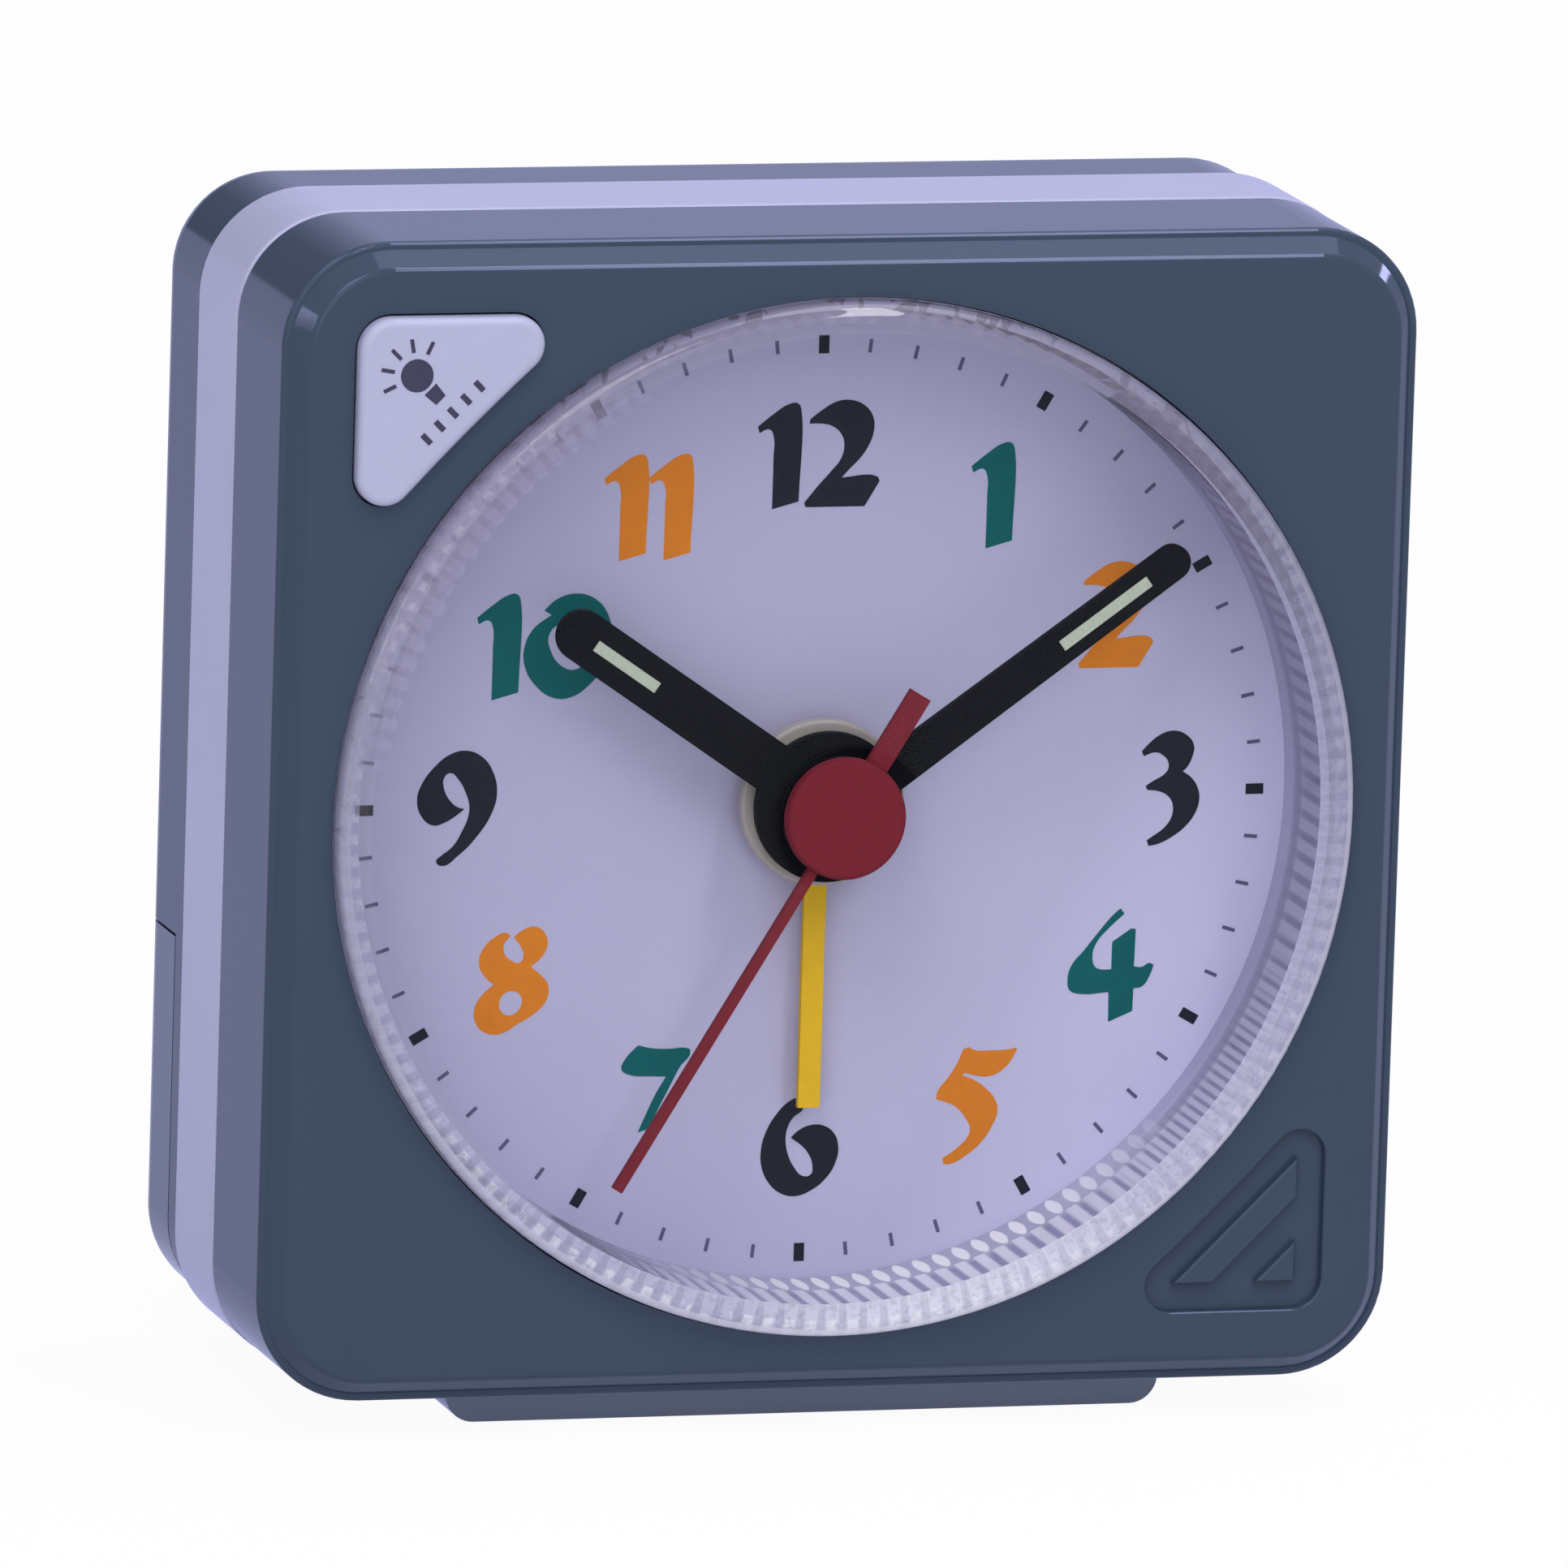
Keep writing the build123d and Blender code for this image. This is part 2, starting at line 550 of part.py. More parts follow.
# Rear case: upper shell, lower rim, battery bay, screw bosses, knob wells, sound slots and switch rails
shelf_up = DOOR_TOP + SHELF_THICK / 2
bay_outer = BAY_HALF + BAY_WALL
bay_floor = BAY_BOTTOM - BAY_WALL
below = 2 * REAR_HALF
with BuildPart() as rear_case:
    rear_shell(rear_case, RING_END)
    square(REAR_HALF - LAP_WALL, RING_END, RING_END + SEAM_LAP + SEAM_GAP, Mode.SUBTRACT)
    block(2 * below, below, DOOR_FRONT, REAR_END, (0, DOOR_TOP - below / 2), Mode.SUBTRACT)
    block(2 * REAR_ROOM, SHELF_THICK, DOOR_FRONT - WEB_THICK, REAR_WALL, (0, shelf_up))
    with BuildSketch(facing(DOOR_FRONT)):
        RectangleRounded(2 * REAR_ROOM, 2 * REAR_ROOM, corner_at(REAR_ROOM))
        with Locations((0, DOOR_TOP - below / 2)):
            Rectangle(2 * below, below, mode=Mode.INTERSECT)
    extrude(amount=WEB_THICK)
    bay_limit = RING_ROOM - FIT_GAP
    bay_walls = (
        (bay_limit, bay_outer, bay_floor, DOOR_TOP + SHELF_THICK, BAY_FRONT - BAY_WALL, Mode.ADD),
        (bay_limit - BAY_WALL, BAY_HALF, BAY_BOTTOM, DOOR_TOP, BAY_FRONT, Mode.SUBTRACT),
    )
    for limit, half, bottom, top, front, mode in bay_walls:
        with BuildSketch(facing(DOOR_FRONT)):
            RectangleRounded(2 * limit, 2 * limit, corner_at(limit))
            with Locations((0, (bottom + top) / 2)):
                Rectangle(2 * half, top - bottom, mode=Mode.INTERSECT)
        extrude(amount=DOOR_FRONT - front, mode=mode)
    saddle_height = CELL_UP - BAY_BOTTOM
    for side in (-1, 1):
        saddle_at = (side * SADDLE_X, BAY_BOTTOM + saddle_height / 2)
        block(SADDLE_THICK, saddle_height, BAY_FRONT, DOOR_FRONT, saddle_at)
        tongue_x = side * (bay_outer + DOOR_GAP + TONGUE_THICK / 2)
        slot = (TONGUE_THICK + 2 * DOOR_GAP, TONGUE_HEIGHT + 2 * DOOR_GAP)
        block(*slot, DOOR_FRONT - WEB_THICK, DOOR_FRONT, (tongue_x, CELL_UP), Mode.SUBTRACT)
    with BuildSketch(crosswise(-BAY_HALF, CELL_DEPTH, CELL_UP)):
        Circle(CELL_RADIUS + FIT_GAP)
    extrude(amount=2 * BAY_HALF, mode=Mode.SUBTRACT)
    for at in CASE_SCREWS:
        disc(BOSS_RADIUS, RING_END, REAR_WALL, at)
        disc(SCREW_HEAD + FIT_GAP, CASE_SEAT, REAR_END, at, Mode.SUBTRACT)
        disc(SCREW_RADIUS + FIT_GAP, RING_END, CASE_SEAT, at, Mode.SUBTRACT)
    for at in (MINUTE_AT, ALARM_AT):
        disc(WELL_RADIUS, WELL_FLOOR, REAR_END, at, Mode.SUBTRACT)
        disc(ARBOR_HOLE, REAR_WALL, REAR_END, at, Mode.SUBTRACT)
    buzzer_at = (BUZZER_X, BUZZER_UP)
    rim_front = REAR_WALL - BUZZER_LEDGE - 2 * BUZZER_THICK
    disc(BUZZER_RADIUS + FIT_GAP + BUZZER_RIM, rim_front, REAR_WALL, buzzer_at)
    disc(BUZZER_RADIUS + FIT_GAP, rim_front, REAR_WALL - BUZZER_LEDGE, buzzer_at, Mode.SUBTRACT)
    disc(BUZZER_RADIUS - BUZZER_RIM, REAR_WALL - BUZZER_LEDGE, REAR_WALL, buzzer_at, Mode.SUBTRACT)
    with BuildSketch(facing(REAR_END, *buzzer_at)):
        with GridLocations(SLOT_PITCH, 1, SLOT_COUNT, 1):
            SlotOverall(SLOT_LENGTH, SLOT_WIDTH, rotation=90)
    extrude(amount=WALL, mode=Mode.SUBTRACT)
    switch_at = (SWITCH_X, SWITCH_UP)
    rail_up = SWITCH_FLANGE[1] / 2 + FIT_GAP + RAIL_THICK / 2
    rail_front = REAR_WALL - SWITCH_FLANGE_THICK - FIT_GAP
    for side in (-1, 1):
        rail_at = (SWITCH_X, SWITCH_UP + side * rail_up)
        block(SWITCH_FLANGE[0] + SWITCH_TRAVEL, RAIL_THICK, rail_front, REAR_WALL, rail_at)
    window = (SWITCH_STEM[0] + SWITCH_TRAVEL + 2 * FIT_GAP, SWITCH_STEM[1] + 2 * FIT_GAP)
    block(*window, REAR_WALL, REAR_END, switch_at, Mode.SUBTRACT)
rear_case.part.label = "rear_case"
export_step(rear_case.part, "parts/rear_case.step")

# Battery door: lower part of the rear shell with two guide tongues and a ribbed thumb grip
with BuildPart() as battery_door:
    rear_shell(battery_door, DOOR_FRONT + DOOR_GAP)
    above = (0, DOOR_TOP - DOOR_GAP + below / 2)
    block(2 * below, below, DOOR_FRONT, REAR_END, above, Mode.SUBTRACT)
    for side in (-1, 1):
        tongue_x = side * (bay_outer + DOOR_GAP + TONGUE_THICK / 2)
        tongue_at = (tongue_x, CELL_UP)
        block(TONGUE_THICK, TONGUE_HEIGHT, DOOR_FRONT - TONGUE_LENGTH, REAR_WALL, tongue_at)
    with BuildSketch(facing(REAR_END, 0, DOOR_TOP - GRIP_PITCH * (GRIP_COUNT + 1) / 2)):
        with GridLocations(1, GRIP_PITCH, 1, GRIP_COUNT):
            SlotOverall(GRIP_WIDTH, GRIP_PITCH / 2)
    extrude(amount=GRIP_CUT, mode=Mode.SUBTRACT)
battery_door.part.label = "battery_door"
export_step(battery_door.part, "parts/battery_door.step")

# Foot: low plinth with rounded ends, held by two pegs in the ring
with BuildPart() as base_foot:
    with BuildSketch(facing(FOOT_SETBACK + FOOT_LENGTH, 0, FOOT_DROP / 2 - AXIS_Z)) as foot_end:
        Rectangle(FOOT_WIDTH, FOOT_DROP)
        fillet(foot_end.vertices().group_by(Axis.Y)[0], FOOT_ROUND)
    extrude(amount=FOOT_LENGTH)
    with BuildSketch(Plane.XY.offset(FOOT_DROP)):
        with Locations((0, peg_y)):
            with GridLocations(PEG_SPACING, 1, 2, 1):
                Circle(PEG_RADIUS)
    extrude(amount=RING_WALL)
base_foot.part.label = "base_foot"
export_step(base_foot.part, "parts/base_foot.step")


def half_way_sag(radius, sag):
    """Drop of a dome half way out to its edge, on a circle centred on the axis."""
    sphere = (radius**2 + sag**2) / (2 * sag)
    return sphere - math.sqrt(sphere**2 - radius**2 / 4)


# Lens: domed window with a rounded shoulder and a skirt fluted on the outside
with BuildPart() as lens:
    rim_depth = LENS_DOME - LENS_PROUD
    with BuildSketch(axial()) as lens_half:
        with BuildLine():
            front_middle = (LENS_RADIUS / 2, half_way_sag(LENS_RADIUS, LENS_DOME) - LENS_PROUD)
            ThreePointArc((0, -LENS_PROUD), front_middle, (LENS_RADIUS, rim_depth))
            Polyline((LENS_RADIUS, rim_depth), (LENS_RADIUS, LENS_SEAT), (SKIRT_BORE, LENS_SEAT))
            Line((SKIRT_BORE, LENS_SEAT), (SKIRT_BORE, rim_depth + LENS_THICK))
            inner_top = LENS_THICK - LENS_PROUD
            inner_middle = (SKIRT_BORE / 2, half_way_sag(SKIRT_BORE, LENS_DOME) + inner_top)
            ThreePointArc((SKIRT_BORE, rim_depth + LENS_THICK), inner_middle, (0, inner_top))
            Line((0, inner_top), (0, -LENS_PROUD))
        make_face()
        fillet(lens_half.vertices().sort_by_distance(Vertex(LENS_RADIUS, rim_depth))[0], LENS_ROUND)
    revolve(axis=Axis((0, FACE_Y, AXIS_Z), (0, 1, 0)))
    flutes = [
        polar(FLUTE_CREST - FLUTE_DEPTH * (k % 2), 180 * k / FLUTE_COUNT)
        for k in range(2 * FLUTE_COUNT)
    ]
    with BuildSketch(facing(DIAL_DEPTH)):
        with BuildLine():
            Polyline(*flutes, close=True)
        make_face()
        Circle(SKIRT_BORE, mode=Mode.SUBTRACT)
    extrude(amount=DIAL_DEPTH - LENS_SEAT)
lens.part.label = "lens"
export_step(lens.part, "parts/lens.step")

# Dial: printed disc that the lens holds down in the tray
with BuildPart() as dial:
    disc(FLUTE_CREST, DIAL_DEPTH, DIAL_DEPTH + DIAL_THICK)
    disc(BUSHING + FIT_GAP, DIAL_DEPTH, DIAL_DEPTH + DIAL_THICK, mode=Mode.SUBTRACT)
dial.part.label = "dial"
export_step(dial.part, "parts/dial.step")

# Dial tray: floor, wall round the lens skirt and a flange behind the bezel's face
with BuildPart() as dial_tray:
    disc(TRAY_RADIUS, LENS_SEAT, TRAY_BACK)
    disc(TRAY_RADIUS + TRAY_FLANGE_REACH, FACE_THICK, FACE_THICK + TRAY_FLANGE)
    disc(TRAY_BORE, LENS_SEAT, DIAL_DEPTH + DIAL_THICK, mode=Mode.SUBTRACT)
    disc(BUSHING + FIT_GAP, DIAL_DEPTH, TRAY_BACK, mode=Mode.SUBTRACT)
dial_tray.part.label = "dial_tray"
export_step(dial_tray.part, "parts/dial_tray.step")

# Snooze button: three-cornered cap, retaining flange and stem
flange_back = FACE_THICK + FIT_GAP + BUTTON_FLANGE_THICK
dome_front = CHASSIS_FRONT - CONTACT_RISE
stem_back = dome_front - BUTTON_TRAVEL - FIT_GAP
with BuildPart() as snooze_button:
    corner_slab(-1, 0, -BUTTON_PROUD, flange_back)
    fillet(snooze_button.edges().group_by(Axis.Y)[0], BUTTON_EDGE)
    corner_slab(-1, BUTTON_FLANGE, FACE_THICK + FIT_GAP, flange_back)
    disc(STEM_RADIUS, flange_back, stem_back, BUTTON_AT)
snooze_button.part.label = "snooze_button"
export_step(snooze_button.part, "parts/snooze_button.step")

# Snooze contact: domed leaf on a short pad of the chassis, under the stem
with BuildPart() as snooze_contact:
    disc(STEM_RADIUS, dome_front, CHASSIS_FRONT, BUTTON_AT)
    fillet(snooze_contact.edges().group_by(Axis.Y)[0], CONTACT_LEAF)
    disc(CONTACT_DOME, CHASSIS_FRONT - CONTACT_LEAF, CHASSIS_FRONT, BUTTON_AT)
snooze_contact.part.label = "snooze_contact"
export_step(snooze_contact.part, "parts/snooze_contact.step")

# Dial lamp: small round lamp that shines through the tray wall from the button's corner
lamp_foot = (TRAY_RADIUS + FIT_GAP + LAMP_LENGTH) / math.sqrt(2)
lamp_plane = Plane(
    origin=(-lamp_foot, FACE_Y + LAMP_DEPTH, AXIS_Z + lamp_foot), x_dir=(0, 1, 0), z_dir=(1, 0, -1)
)
with BuildPart() as dial_lamp:
    with BuildSketch(lamp_plane):
        Circle(LAMP_RADIUS)
    extrude(amount=LAMP_LENGTH)
    lamp_rims = dial_lamp.edges().filter_by(GeomType.CIRCLE)
    fillet(lamp_rims.sort_by(Axis.X)[-1], LAMP_RADIUS / 2)
    with BuildSketch(facing(CHASSIS_FRONT, -lamp_foot, lamp_foot, 45)):
        with Locations((LAMP_LENGTH / 2, 0)):
            Rectangle(LAMP_LENGTH / 2, LAMP_RADIUS)
    extrude(amount=CHASSIS_FRONT - LAMP_DEPTH)
dial_lamp.part.label = "dial_lamp"
export_step(dial_lamp.part, "parts/dial_lamp.step")

# Movement chassis: front plate with pillars, centre bushing and bearings
with BuildPart() as movement_chassis:
    with BuildSketch(facing(CHASSIS_BACK)):
        RectangleRounded(2 * CHASSIS_HALF, 2 * CHASSIS_HALF, corner_at(CHASSIS_HALF))
    extrude(amount=CHASSIS_THICK)
    for at in PILLARS:
        disc(PILLAR_RADIUS, CHASSIS_BACK, PLATE_FRONT, at)
        hole_front = PLATE_BACK - PLATE_SCREW_LENGTH - FIT_GAP
        disc(SCREW_RADIUS + SCREW_HOLE_GAP, hole_front, PLATE_FRONT, at, Mode.SUBTRACT)
    disc(BUSHING, DIAL_DEPTH, CHASSIS_FRONT)
    disc(ALARM_PIPE + RUN_GAP, DIAL_DEPTH, CHASSIS_BACK, mode=Mode.SUBTRACT)
    for at in CHASSIS_SCREWS:
        disc(SCREW_RADIUS + FIT_GAP, CHASSIS_FRONT, CHASSIS_BACK, at, Mode.SUBTRACT)
    for at in (THIRD_AT, MINUTE_AT, ALARM_AT):
        disc(PIVOT + RUN_GAP, CHASSIS_FRONT, CHASSIS_BACK, at, Mode.SUBTRACT)
movement_chassis.part.label = "movement_chassis"
export_step(movement_chassis.part, "parts/movement_chassis.step")

# Movement rear plate: bearings for the arbors and stub pins for the intermediate wheel and rotor
with BuildPart() as movement_rear_plate:
    plate_height = PLATE_TOP - PLATE_BOTTOM
    plate_at = (0, (PLATE_TOP + PLATE_BOTTOM) / 2)
    block(2 * PLATE_HALF_WIDTH, plate_height, PLATE_FRONT, PLATE_BACK, plate_at)
    disc(INTERMEDIATE_PIN, SECOND_LAYER, PLATE_FRONT, INTERMEDIATE_AT)
    disc(PIVOT, FAST_LAYER, PLATE_FRONT, ROTOR_AT)
    for at in PILLARS:
        disc(SCREW_RADIUS + FIT_GAP, PLATE_FRONT, PLATE_BACK, at, Mode.SUBTRACT)
    bearings = ((PIVOT, (0, 0)), (PIVOT, THIRD_AT), (MINUTE_ARBOR, MINUTE_AT), (ALARM_ARBOR, ALARM_AT))
    for radius, at in bearings:
        disc(radius + RUN_GAP, PLATE_FRONT, PLATE_BACK, at, Mode.SUBTRACT)
movement_rear_plate.part.label = "movement_rear_plate"
export_step(movement_rear_plate.part, "parts/movement_rear_plate.step")

# Rotor: magnet and pinion on a stub pin of the rear plate
magnet_front = MOTOR_FRONT
magnet_back = PLATE_FRONT - LAYER_GAP
with BuildPart() as rotor:
    wheel(ROTOR_PINION, ROTOR_MODULE, ROTOR_BEARING + 180, FAST_LAYER, ROTOR_AT)
    neck_radius = ROTOR_MODULE * (ROTOR_PINION / 2 - DEDENDUM)
    disc(neck_radius, FAST_LAYER + LAYER_THICK, magnet_front, ROTOR_AT)
    disc(MAGNET_RADIUS, magnet_front, magnet_back, ROTOR_AT)
    disc(PIVOT + RUN_GAP, FAST_LAYER, magnet_back, ROTOR_AT, Mode.SUBTRACT)
rotor.part.label = "rotor"
export_step(rotor.part, "parts/rotor.step")

# Intermediate wheel: turns on its stub pin, driven by the rotor and driving the second wheel
with BuildPart() as intermediate_wheel:
    gap_bearing = meshing(ROTOR_BEARING, INTERMEDIATE_TEETH)
    wheel(INTERMEDIATE_TEETH, ROTOR_MODULE, gap_bearing, FAST_LAYER, INTERMEDIATE_AT)
    wheel(INTERMEDIATE_PINION, FAST_MODULE, INTERMEDIATE_BEARING + 180, SECOND_LAYER, INTERMEDIATE_AT)
    neck_radius = FAST_MODULE * (INTERMEDIATE_PINION / 2 - DEDENDUM)
    disc(neck_radius, SECOND_LAYER + LAYER_THICK, FAST_LAYER, INTERMEDIATE_AT)
    disc(neck_radius, FAST_LAYER + LAYER_THICK, PLATE_FRONT - LAYER_GAP, INTERMEDIATE_AT)
    bore_back = PLATE_FRONT - LAYER_GAP
    disc(INTERMEDIATE_PIN + RUN_GAP, SECOND_LAYER, bore_back, INTERMEDIATE_AT, Mode.SUBTRACT)
intermediate_wheel.part.label = "intermediate_wheel"
export_step(intermediate_wheel.part, "parts/intermediate_wheel.step")

# Second wheel: its arbor runs through all the pipes and carries the second hand
second_front = DIAL_DEPTH - SECOND_HEIGHT
second_tip = second_front + SECOND_HUB_THICK / 2
with BuildPart() as second_wheel:
    wheel(SECOND_TEETH, FAST_MODULE, meshing(INTERMEDIATE_BEARING, SECOND_TEETH), SECOND_LAYER)
    wheel(SECOND_PINION, SECOND_MODULE, THIRD_BEARING, THIRD_LAYER)
    disc(SECOND_ARBOR, second_tip, PLATE_FRONT - LAYER_GAP)
    disc(PIVOT, PLATE_FRONT - LAYER_GAP, PLATE_BACK)
second_wheel.part.label = "second_wheel"
export_step(second_wheel.part, "parts/second_wheel.step")

# Third wheel: pivots in both plates
with BuildPart() as third_wheel:
    wheel(THIRD_TEETH, SECOND_MODULE, meshing(THIRD_BEARING + 180, THIRD_TEETH), THIRD_LAYER, THIRD_AT)
    wheel(THIRD_PINION, CENTRE_MODULE, THIRD_BEARING + 180, CENTRE_LAYER, THIRD_AT)
    disc(THIRD_ARBOR, ALARM_LAYER, PLATE_FRONT - LAYER_GAP, THIRD_AT)
    disc(PIVOT, CHASSIS_FRONT + LAYER_GAP, PLATE_BACK, THIRD_AT)
third_wheel.part.label = "third_wheel"
export_step(third_wheel.part, "parts/third_wheel.step")

# Centre wheel: once an hour, slips on the tail of the cannon pinion when the time is set
with BuildPart() as centre_wheel:
    wheel(CENTRE_TEETH, CENTRE_MODULE, meshing(THIRD_BEARING, CENTRE_TEETH), CENTRE_LAYER)
    disc(CANNON_PIPE + RUN_GAP, CENTRE_LAYER, CENTRE_LAYER + LAYER_THICK, mode=Mode.SUBTRACT)
centre_wheel.part.label = "centre_wheel"
export_step(centre_wheel.part, "parts/centre_wheel.step")

# Cannon pinion: the minute pipe, with the centre wheel on its tail
minute_front = DIAL_DEPTH - MINUTE_HEIGHT
with BuildPart() as cannon_pinion:
    wheel(CANNON_TEETH, MOTION_MODULE, MINUTE_BEARING, MINUTE_LAYER)
    disc(CANNON_PIPE, minute_front, CENTRE_LAYER + LAYER_THICK)
    disc(SECOND_ARBOR + RUN_GAP, minute_front, CENTRE_LAYER + LAYER_THICK, mode=Mode.SUBTRACT)
cannon_pinion.part.label = "cannon_pinion"
export_step(cannon_pinion.part, "parts/cannon_pinion.step")

# Minute wheel: its pinion drives the hour wheel and its arbor runs out to the time knob
arbor_end = KNOB_BACK - KNOB_THICK / 3
with BuildPart() as minute_wheel:
    wheel(MINUTE_TEETH, MOTION_MODULE, meshing(MINUTE_BEARING + 180, MINUTE_TEETH), MINUTE_LAYER, MINUTE_AT)
    wheel(MINUTE_PINION, HOUR_MODULE, MINUTE_BEARING + 180, HOUR_LAYER, MINUTE_AT)
    disc(MINUTE_ARBOR, HOUR_LAYER - LAYER_GAP, arbor_end, MINUTE_AT)
    disc(PIVOT, CHASSIS_FRONT + LAYER_GAP, HOUR_LAYER, MINUTE_AT)
minute_wheel.part.label = "minute_wheel"
export_step(minute_wheel.part, "parts/minute_wheel.step")

# Hour wheel: its pipe carries the hour hand
hour_front = DIAL_DEPTH - HOUR_HEIGHT
with BuildPart() as hour_wheel:
    wheel(HOUR_TEETH, HOUR_MODULE, meshing(MINUTE_BEARING, HOUR_TEETH), HOUR_LAYER)
    disc(HOUR_PIPE, hour_front, HOUR_LAYER)
    disc(CANNON_PIPE + RUN_GAP, hour_front, HOUR_LAYER + LAYER_THICK, mode=Mode.SUBTRACT)
hour_wheel.part.label = "hour_wheel"
export_step(hour_wheel.part, "parts/hour_wheel.step")

# Alarm wheel: its pipe ends in a pale collet above the alarm hand
collet_front = DIAL_DEPTH - COLLET_HEIGHT
with BuildPart() as alarm_wheel:
    wheel(ALARM_TEETH, ALARM_MODULE, meshing(ALARM_BEARING, ALARM_TEETH), ALARM_LAYER)
    disc(ALARM_PIPE, collet_front, ALARM_LAYER)
    disc(COLLET_RADIUS, collet_front, collet_front + COLLET_THICK)
    fillet(alarm_wheel.edges().group_by(Axis.Y)[0], COLLET_THICK / 3)
    disc(HOUR_PIPE + RUN_GAP, collet_front, ALARM_LAYER + LAYER_THICK, mode=Mode.SUBTRACT)
alarm_wheel.part.label = "alarm_wheel"
export_step(alarm_wheel.part, "parts/alarm_wheel.step")

# Alarm arbor: pinion on a shaft that runs out to the alarm knob
with BuildPart() as alarm_arbor:
    wheel(ALARM_PINION, ALARM_MODULE, ALARM_BEARING + 180, ALARM_LAYER, ALARM_AT)
    disc(ALARM_ARBOR, ALARM_LAYER, arbor_end, ALARM_AT)
    disc(PIVOT, CHASSIS_FRONT + LAYER_GAP, ALARM_LAYER, ALARM_AT)
alarm_arbor.part.label = "alarm_arbor"
export_step(alarm_arbor.part, "parts/alarm_arbor.step")


def knob(arbor_radius, at):
    """Fluted setting knob with a rounded outer edge, pushed on an arbor."""
    rim = [
        polar(KNOB_RADIUS - KNOB_FLUTE * (k % 2), 180 * k / KNOB_FLUTES) for k in range(2 * KNOB_FLUTES)
    ]
    with BuildSketch(facing(KNOB_BACK - KNOB_EDGE, *at)) as outline:
        with BuildLine():
            Polyline(*rim, close=True)
        make_face()
    extrude(outline.sketch, amount=KNOB_THICK - KNOB_EDGE)
    with BuildSketch(axial(*at)) as cap:
        with BuildLine():
            flat = KNOB_RADIUS - KNOB_FLUTE
            Polyline(
                (0, KNOB_BACK - KNOB_EDGE),
                (flat, KNOB_BACK - KNOB_EDGE),
                (flat - KNOB_EDGE, KNOB_BACK),
                (0, KNOB_BACK),
                close=True,
            )
        make_face()
    revolve(cap.sketch, axis=Axis((at[0], FACE_Y, AXIS_Z + at[1]), (0, 1, 0)))
    disc(arbor_radius + RUN_GAP, KNOB_FRONT, arbor_end + FIT_GAP, at, Mode.SUBTRACT)


# Time and alarm setting knobs
with BuildPart() as time_set_knob:
    knob(MINUTE_ARBOR, MINUTE_AT)
time_set_knob.part.label = "time_set_knob"
export_step(time_set_knob.part, "parts/time_set_knob.step")

with BuildPart() as alarm_set_knob:
    knob(ALARM_ARBOR, ALARM_AT)
alarm_set_knob.part.label = "alarm_set_knob"
export_step(alarm_set_knob.part, "parts/alarm_set_knob.step")

# Alarm switch: flange between the rails, ribbed stem through the window, at rest to the left
with BuildPart() as alarm_switch:
    stem_at = (SWITCH_X - SWITCH_TRAVEL / 2, SWITCH_UP)
    block(*SWITCH_FLANGE, REAR_WALL - SWITCH_FLANGE_THICK, REAR_WALL - FIT_GAP, stem_at)
    block(*SWITCH_STEM, REAR_WALL - FIT_GAP, REAR_END + SWITCH_PROUD, stem_at)
    with BuildSketch(facing(REAR_END + SWITCH_PROUD, *stem_at)):
        with GridLocations(SWITCH_STEM[0] / 3, 1, 2, 1):
            Rectangle(SWITCH_STEM[0] / 6, SWITCH_STEM[1])
    extrude(amount=GRIP_CUT, mode=Mode.SUBTRACT)
alarm_switch.part.label = "alarm_switch"
export_step(alarm_switch.part, "parts/alarm_switch.step")


def lume_slot(span, thick, front, angle, mode):
    """Strip of lume along a hand, between two distances from the axis."""
    with BuildSketch(facing(front + thick, turn=angle)) as strip:
        with Locations((0, sum(span) / 2)):
            Rectangle(LUME_WIDTH, span[1] - span[0])
    extrude(strip.sketch, amount=thick, mode=mode)


# Hour hand and its lume
with BuildPart() as hour_hand:
    with BuildSketch(facing(hour_front + HAND_THICK, turn=HOUR_ANGLE)):
        hour_end = HOUR_REACH - HOUR_WIDTH / 2
        Circle(HOUR_HUB)
        with Locations((0, hour_end / 2)):
            Rectangle(HOUR_WIDTH, hour_end)
        with Locations((0, hour_end)):
            Circle(HOUR_WIDTH / 2)
        Circle(HOUR_PIPE + RUN_GAP, mode=Mode.SUBTRACT)
    extrude(amount=HAND_THICK)
    lume_slot(HOUR_LUME, LUME_SINK, hour_front, HOUR_ANGLE, Mode.SUBTRACT)
hour_hand.part.label = "hour_hand"
export_step(hour_hand.part, "parts/hour_hand.step")

with BuildPart() as hour_hand_lume:
    lume_slot(HOUR_LUME, LUME_THICK, hour_front + LUME_SINK - LUME_THICK, HOUR_ANGLE, Mode.ADD)
hour_hand_lume.part.label = "hour_hand_lume"
export_step(hour_hand_lume.part, "parts/hour_hand_lume.step")

# Minute hand and its lume
with BuildPart() as minute_hand:
    with BuildSketch(facing(minute_front + HAND_THICK, turn=MINUTE_ANGLE)):
        minute_end = MINUTE_REACH - MINUTE_TIP_WIDTH / 2
        with BuildLine():
            Polyline(
                (-MINUTE_WIDTH / 2, 0),
                (MINUTE_WIDTH / 2, 0),
                (MINUTE_TIP_WIDTH / 2, minute_end),
                (-MINUTE_TIP_WIDTH / 2, minute_end),
                close=True,
            )
        make_face()
        Circle(MINUTE_HUB)
        with Locations((0, minute_end)):
            Circle(MINUTE_TIP_WIDTH / 2)
        Circle(CANNON_PIPE + RUN_GAP, mode=Mode.SUBTRACT)
    extrude(amount=HAND_THICK)
    lume_slot(MINUTE_LUME, LUME_SINK, minute_front, MINUTE_ANGLE, Mode.SUBTRACT)
minute_hand.part.label = "minute_hand"
export_step(minute_hand.part, "parts/minute_hand.step")

